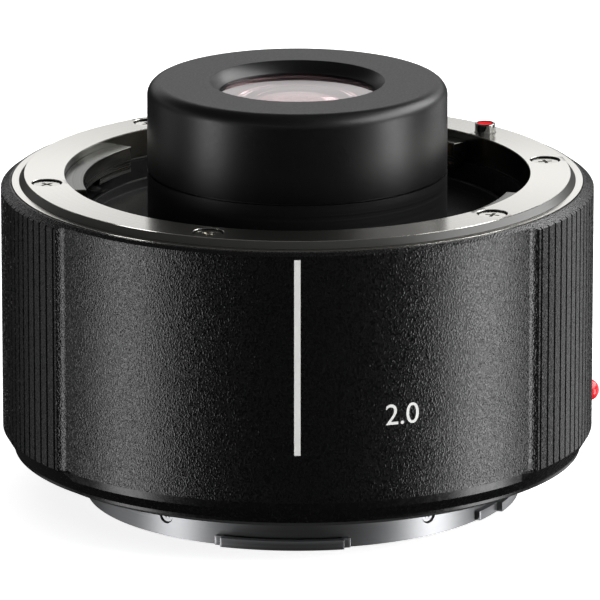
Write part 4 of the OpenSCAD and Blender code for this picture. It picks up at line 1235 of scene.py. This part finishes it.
_, spigot_low, flange_top = sizes_of("camera_bayonet")
bayonet = turned("camera_spigot", [
    (SPIGOT_BORE_R, spigot_low), (SPIGOT_R, spigot_low), (SPIGOT_R, SEAT_RELIEF), (RELIEF_R, SEAT_RELIEF),
    (RELIEF_R, 0), (FLANGE_R, 0), (FLANGE_R + FLANGE_LIP, SEAL_Z[0]), (SEAL_IN_R, SEAL_Z[0]),
    (SEAL_IN_R, SEAL_Z[1]), (NECK_R, SEAL_Z[1]), (NECK_R, flange_top), (SPIGOT_BORE_R, flange_top)],
    steps=360)
soften(bayonet, BAYONET_EDGE)
blocks = []
for low_start, high_start, high_end, low_end in CAMERA_CLAWS:
    for radius, start, end in ((LOW_CLAW_R, low_start, low_end), (HIGH_CLAW_R, high_start, high_end)):
        claw = spun_bar("camera_claw", (SPIGOT_R - CLAW_ROOT, radius), CLAW_Z, end - start, steps=48)
        blocks.append(place_piece(soften(claw, BAYONET_EDGE), start))
print("bayonet and", len(CAMERA_CLAWS), "claws")

# %% Screws of the camera-side bayonet
FLANGE_SCREW_R = 29.2
FLANGE_POCKET_R = 1.6
FLANGE_POCKET_DEPTH = 0.85
FLANGE_SCREW_ANGLES = range(20, 380, 60)
BAFFLE_SCREW_ANGLES = (52.4, 127.6, 232.4, 307.6)
BAFFLE_SCREW_Z = -2.4
BAFFLE_SINK = 0.25
BAFFLE_POCKET_R = 1
BAFFLE_POCKET_DEPTH = 0.9
BAFFLE_FLARE = 0.03
CAMERA_PIN_ANGLE = 335
CAMERA_PIN_HOLE_R = 1.35
CAMERA_PIN_DEPTH = 3

cut_pockets(
    bayonet, FLANGE_POCKET_R, FLANGE_POCKET_DEPTH, POCKET_FLARE, FLANGE_SCREW_ANGLES, FLANGE_SCREW_R, 0, 180)
cut_pockets(
    bayonet, BAFFLE_POCKET_R, BAFFLE_POCKET_DEPTH, BAFFLE_FLARE, BAFFLE_SCREW_ANGLES, SPIGOT_R,
    BAFFLE_SCREW_Z, 90)
cut_pockets(
    bayonet, CAMERA_PIN_HOLE_R, CAMERA_PIN_DEPTH, HOLE_FLARE, [CAMERA_PIN_ANGLE], PIN_CIRCLE_R, 0, 180)
join_pieces([bayonet] + blocks)
hand_over(bayonet, bayonet_nickel, "plated_mount", "camera_bayonet")
flange_screws = repeated(
    cross_screw("flange_screws", head_r=1.5, head_h=0.7, shank_r=0.9, length=3.6),
    FLANGE_SCREW_ANGLES, FLANGE_SCREW_R, SEAT_RELIEF, 180, FLANGE_SCREW_ANGLES)
hand_over(flange_screws, screw_nickel, "screw_steel", "camera_bayonet_screws")
baffle_screws = repeated(
    cross_screw("baffle_screws", head_r=0.9, head_h=0.6, shank_r=0.5, length=3.2),
    BAFFLE_SCREW_ANGLES, SPIGOT_R - BAFFLE_SINK, BAFFLE_SCREW_Z, 90, BAFFLE_SCREW_ANGLES)
hand_over(baffle_screws, bayonet_nickel, "screw_steel", "rear_baffle_screws")

# %% [markdown]
# ## End

# %% End
print("the scene is built")
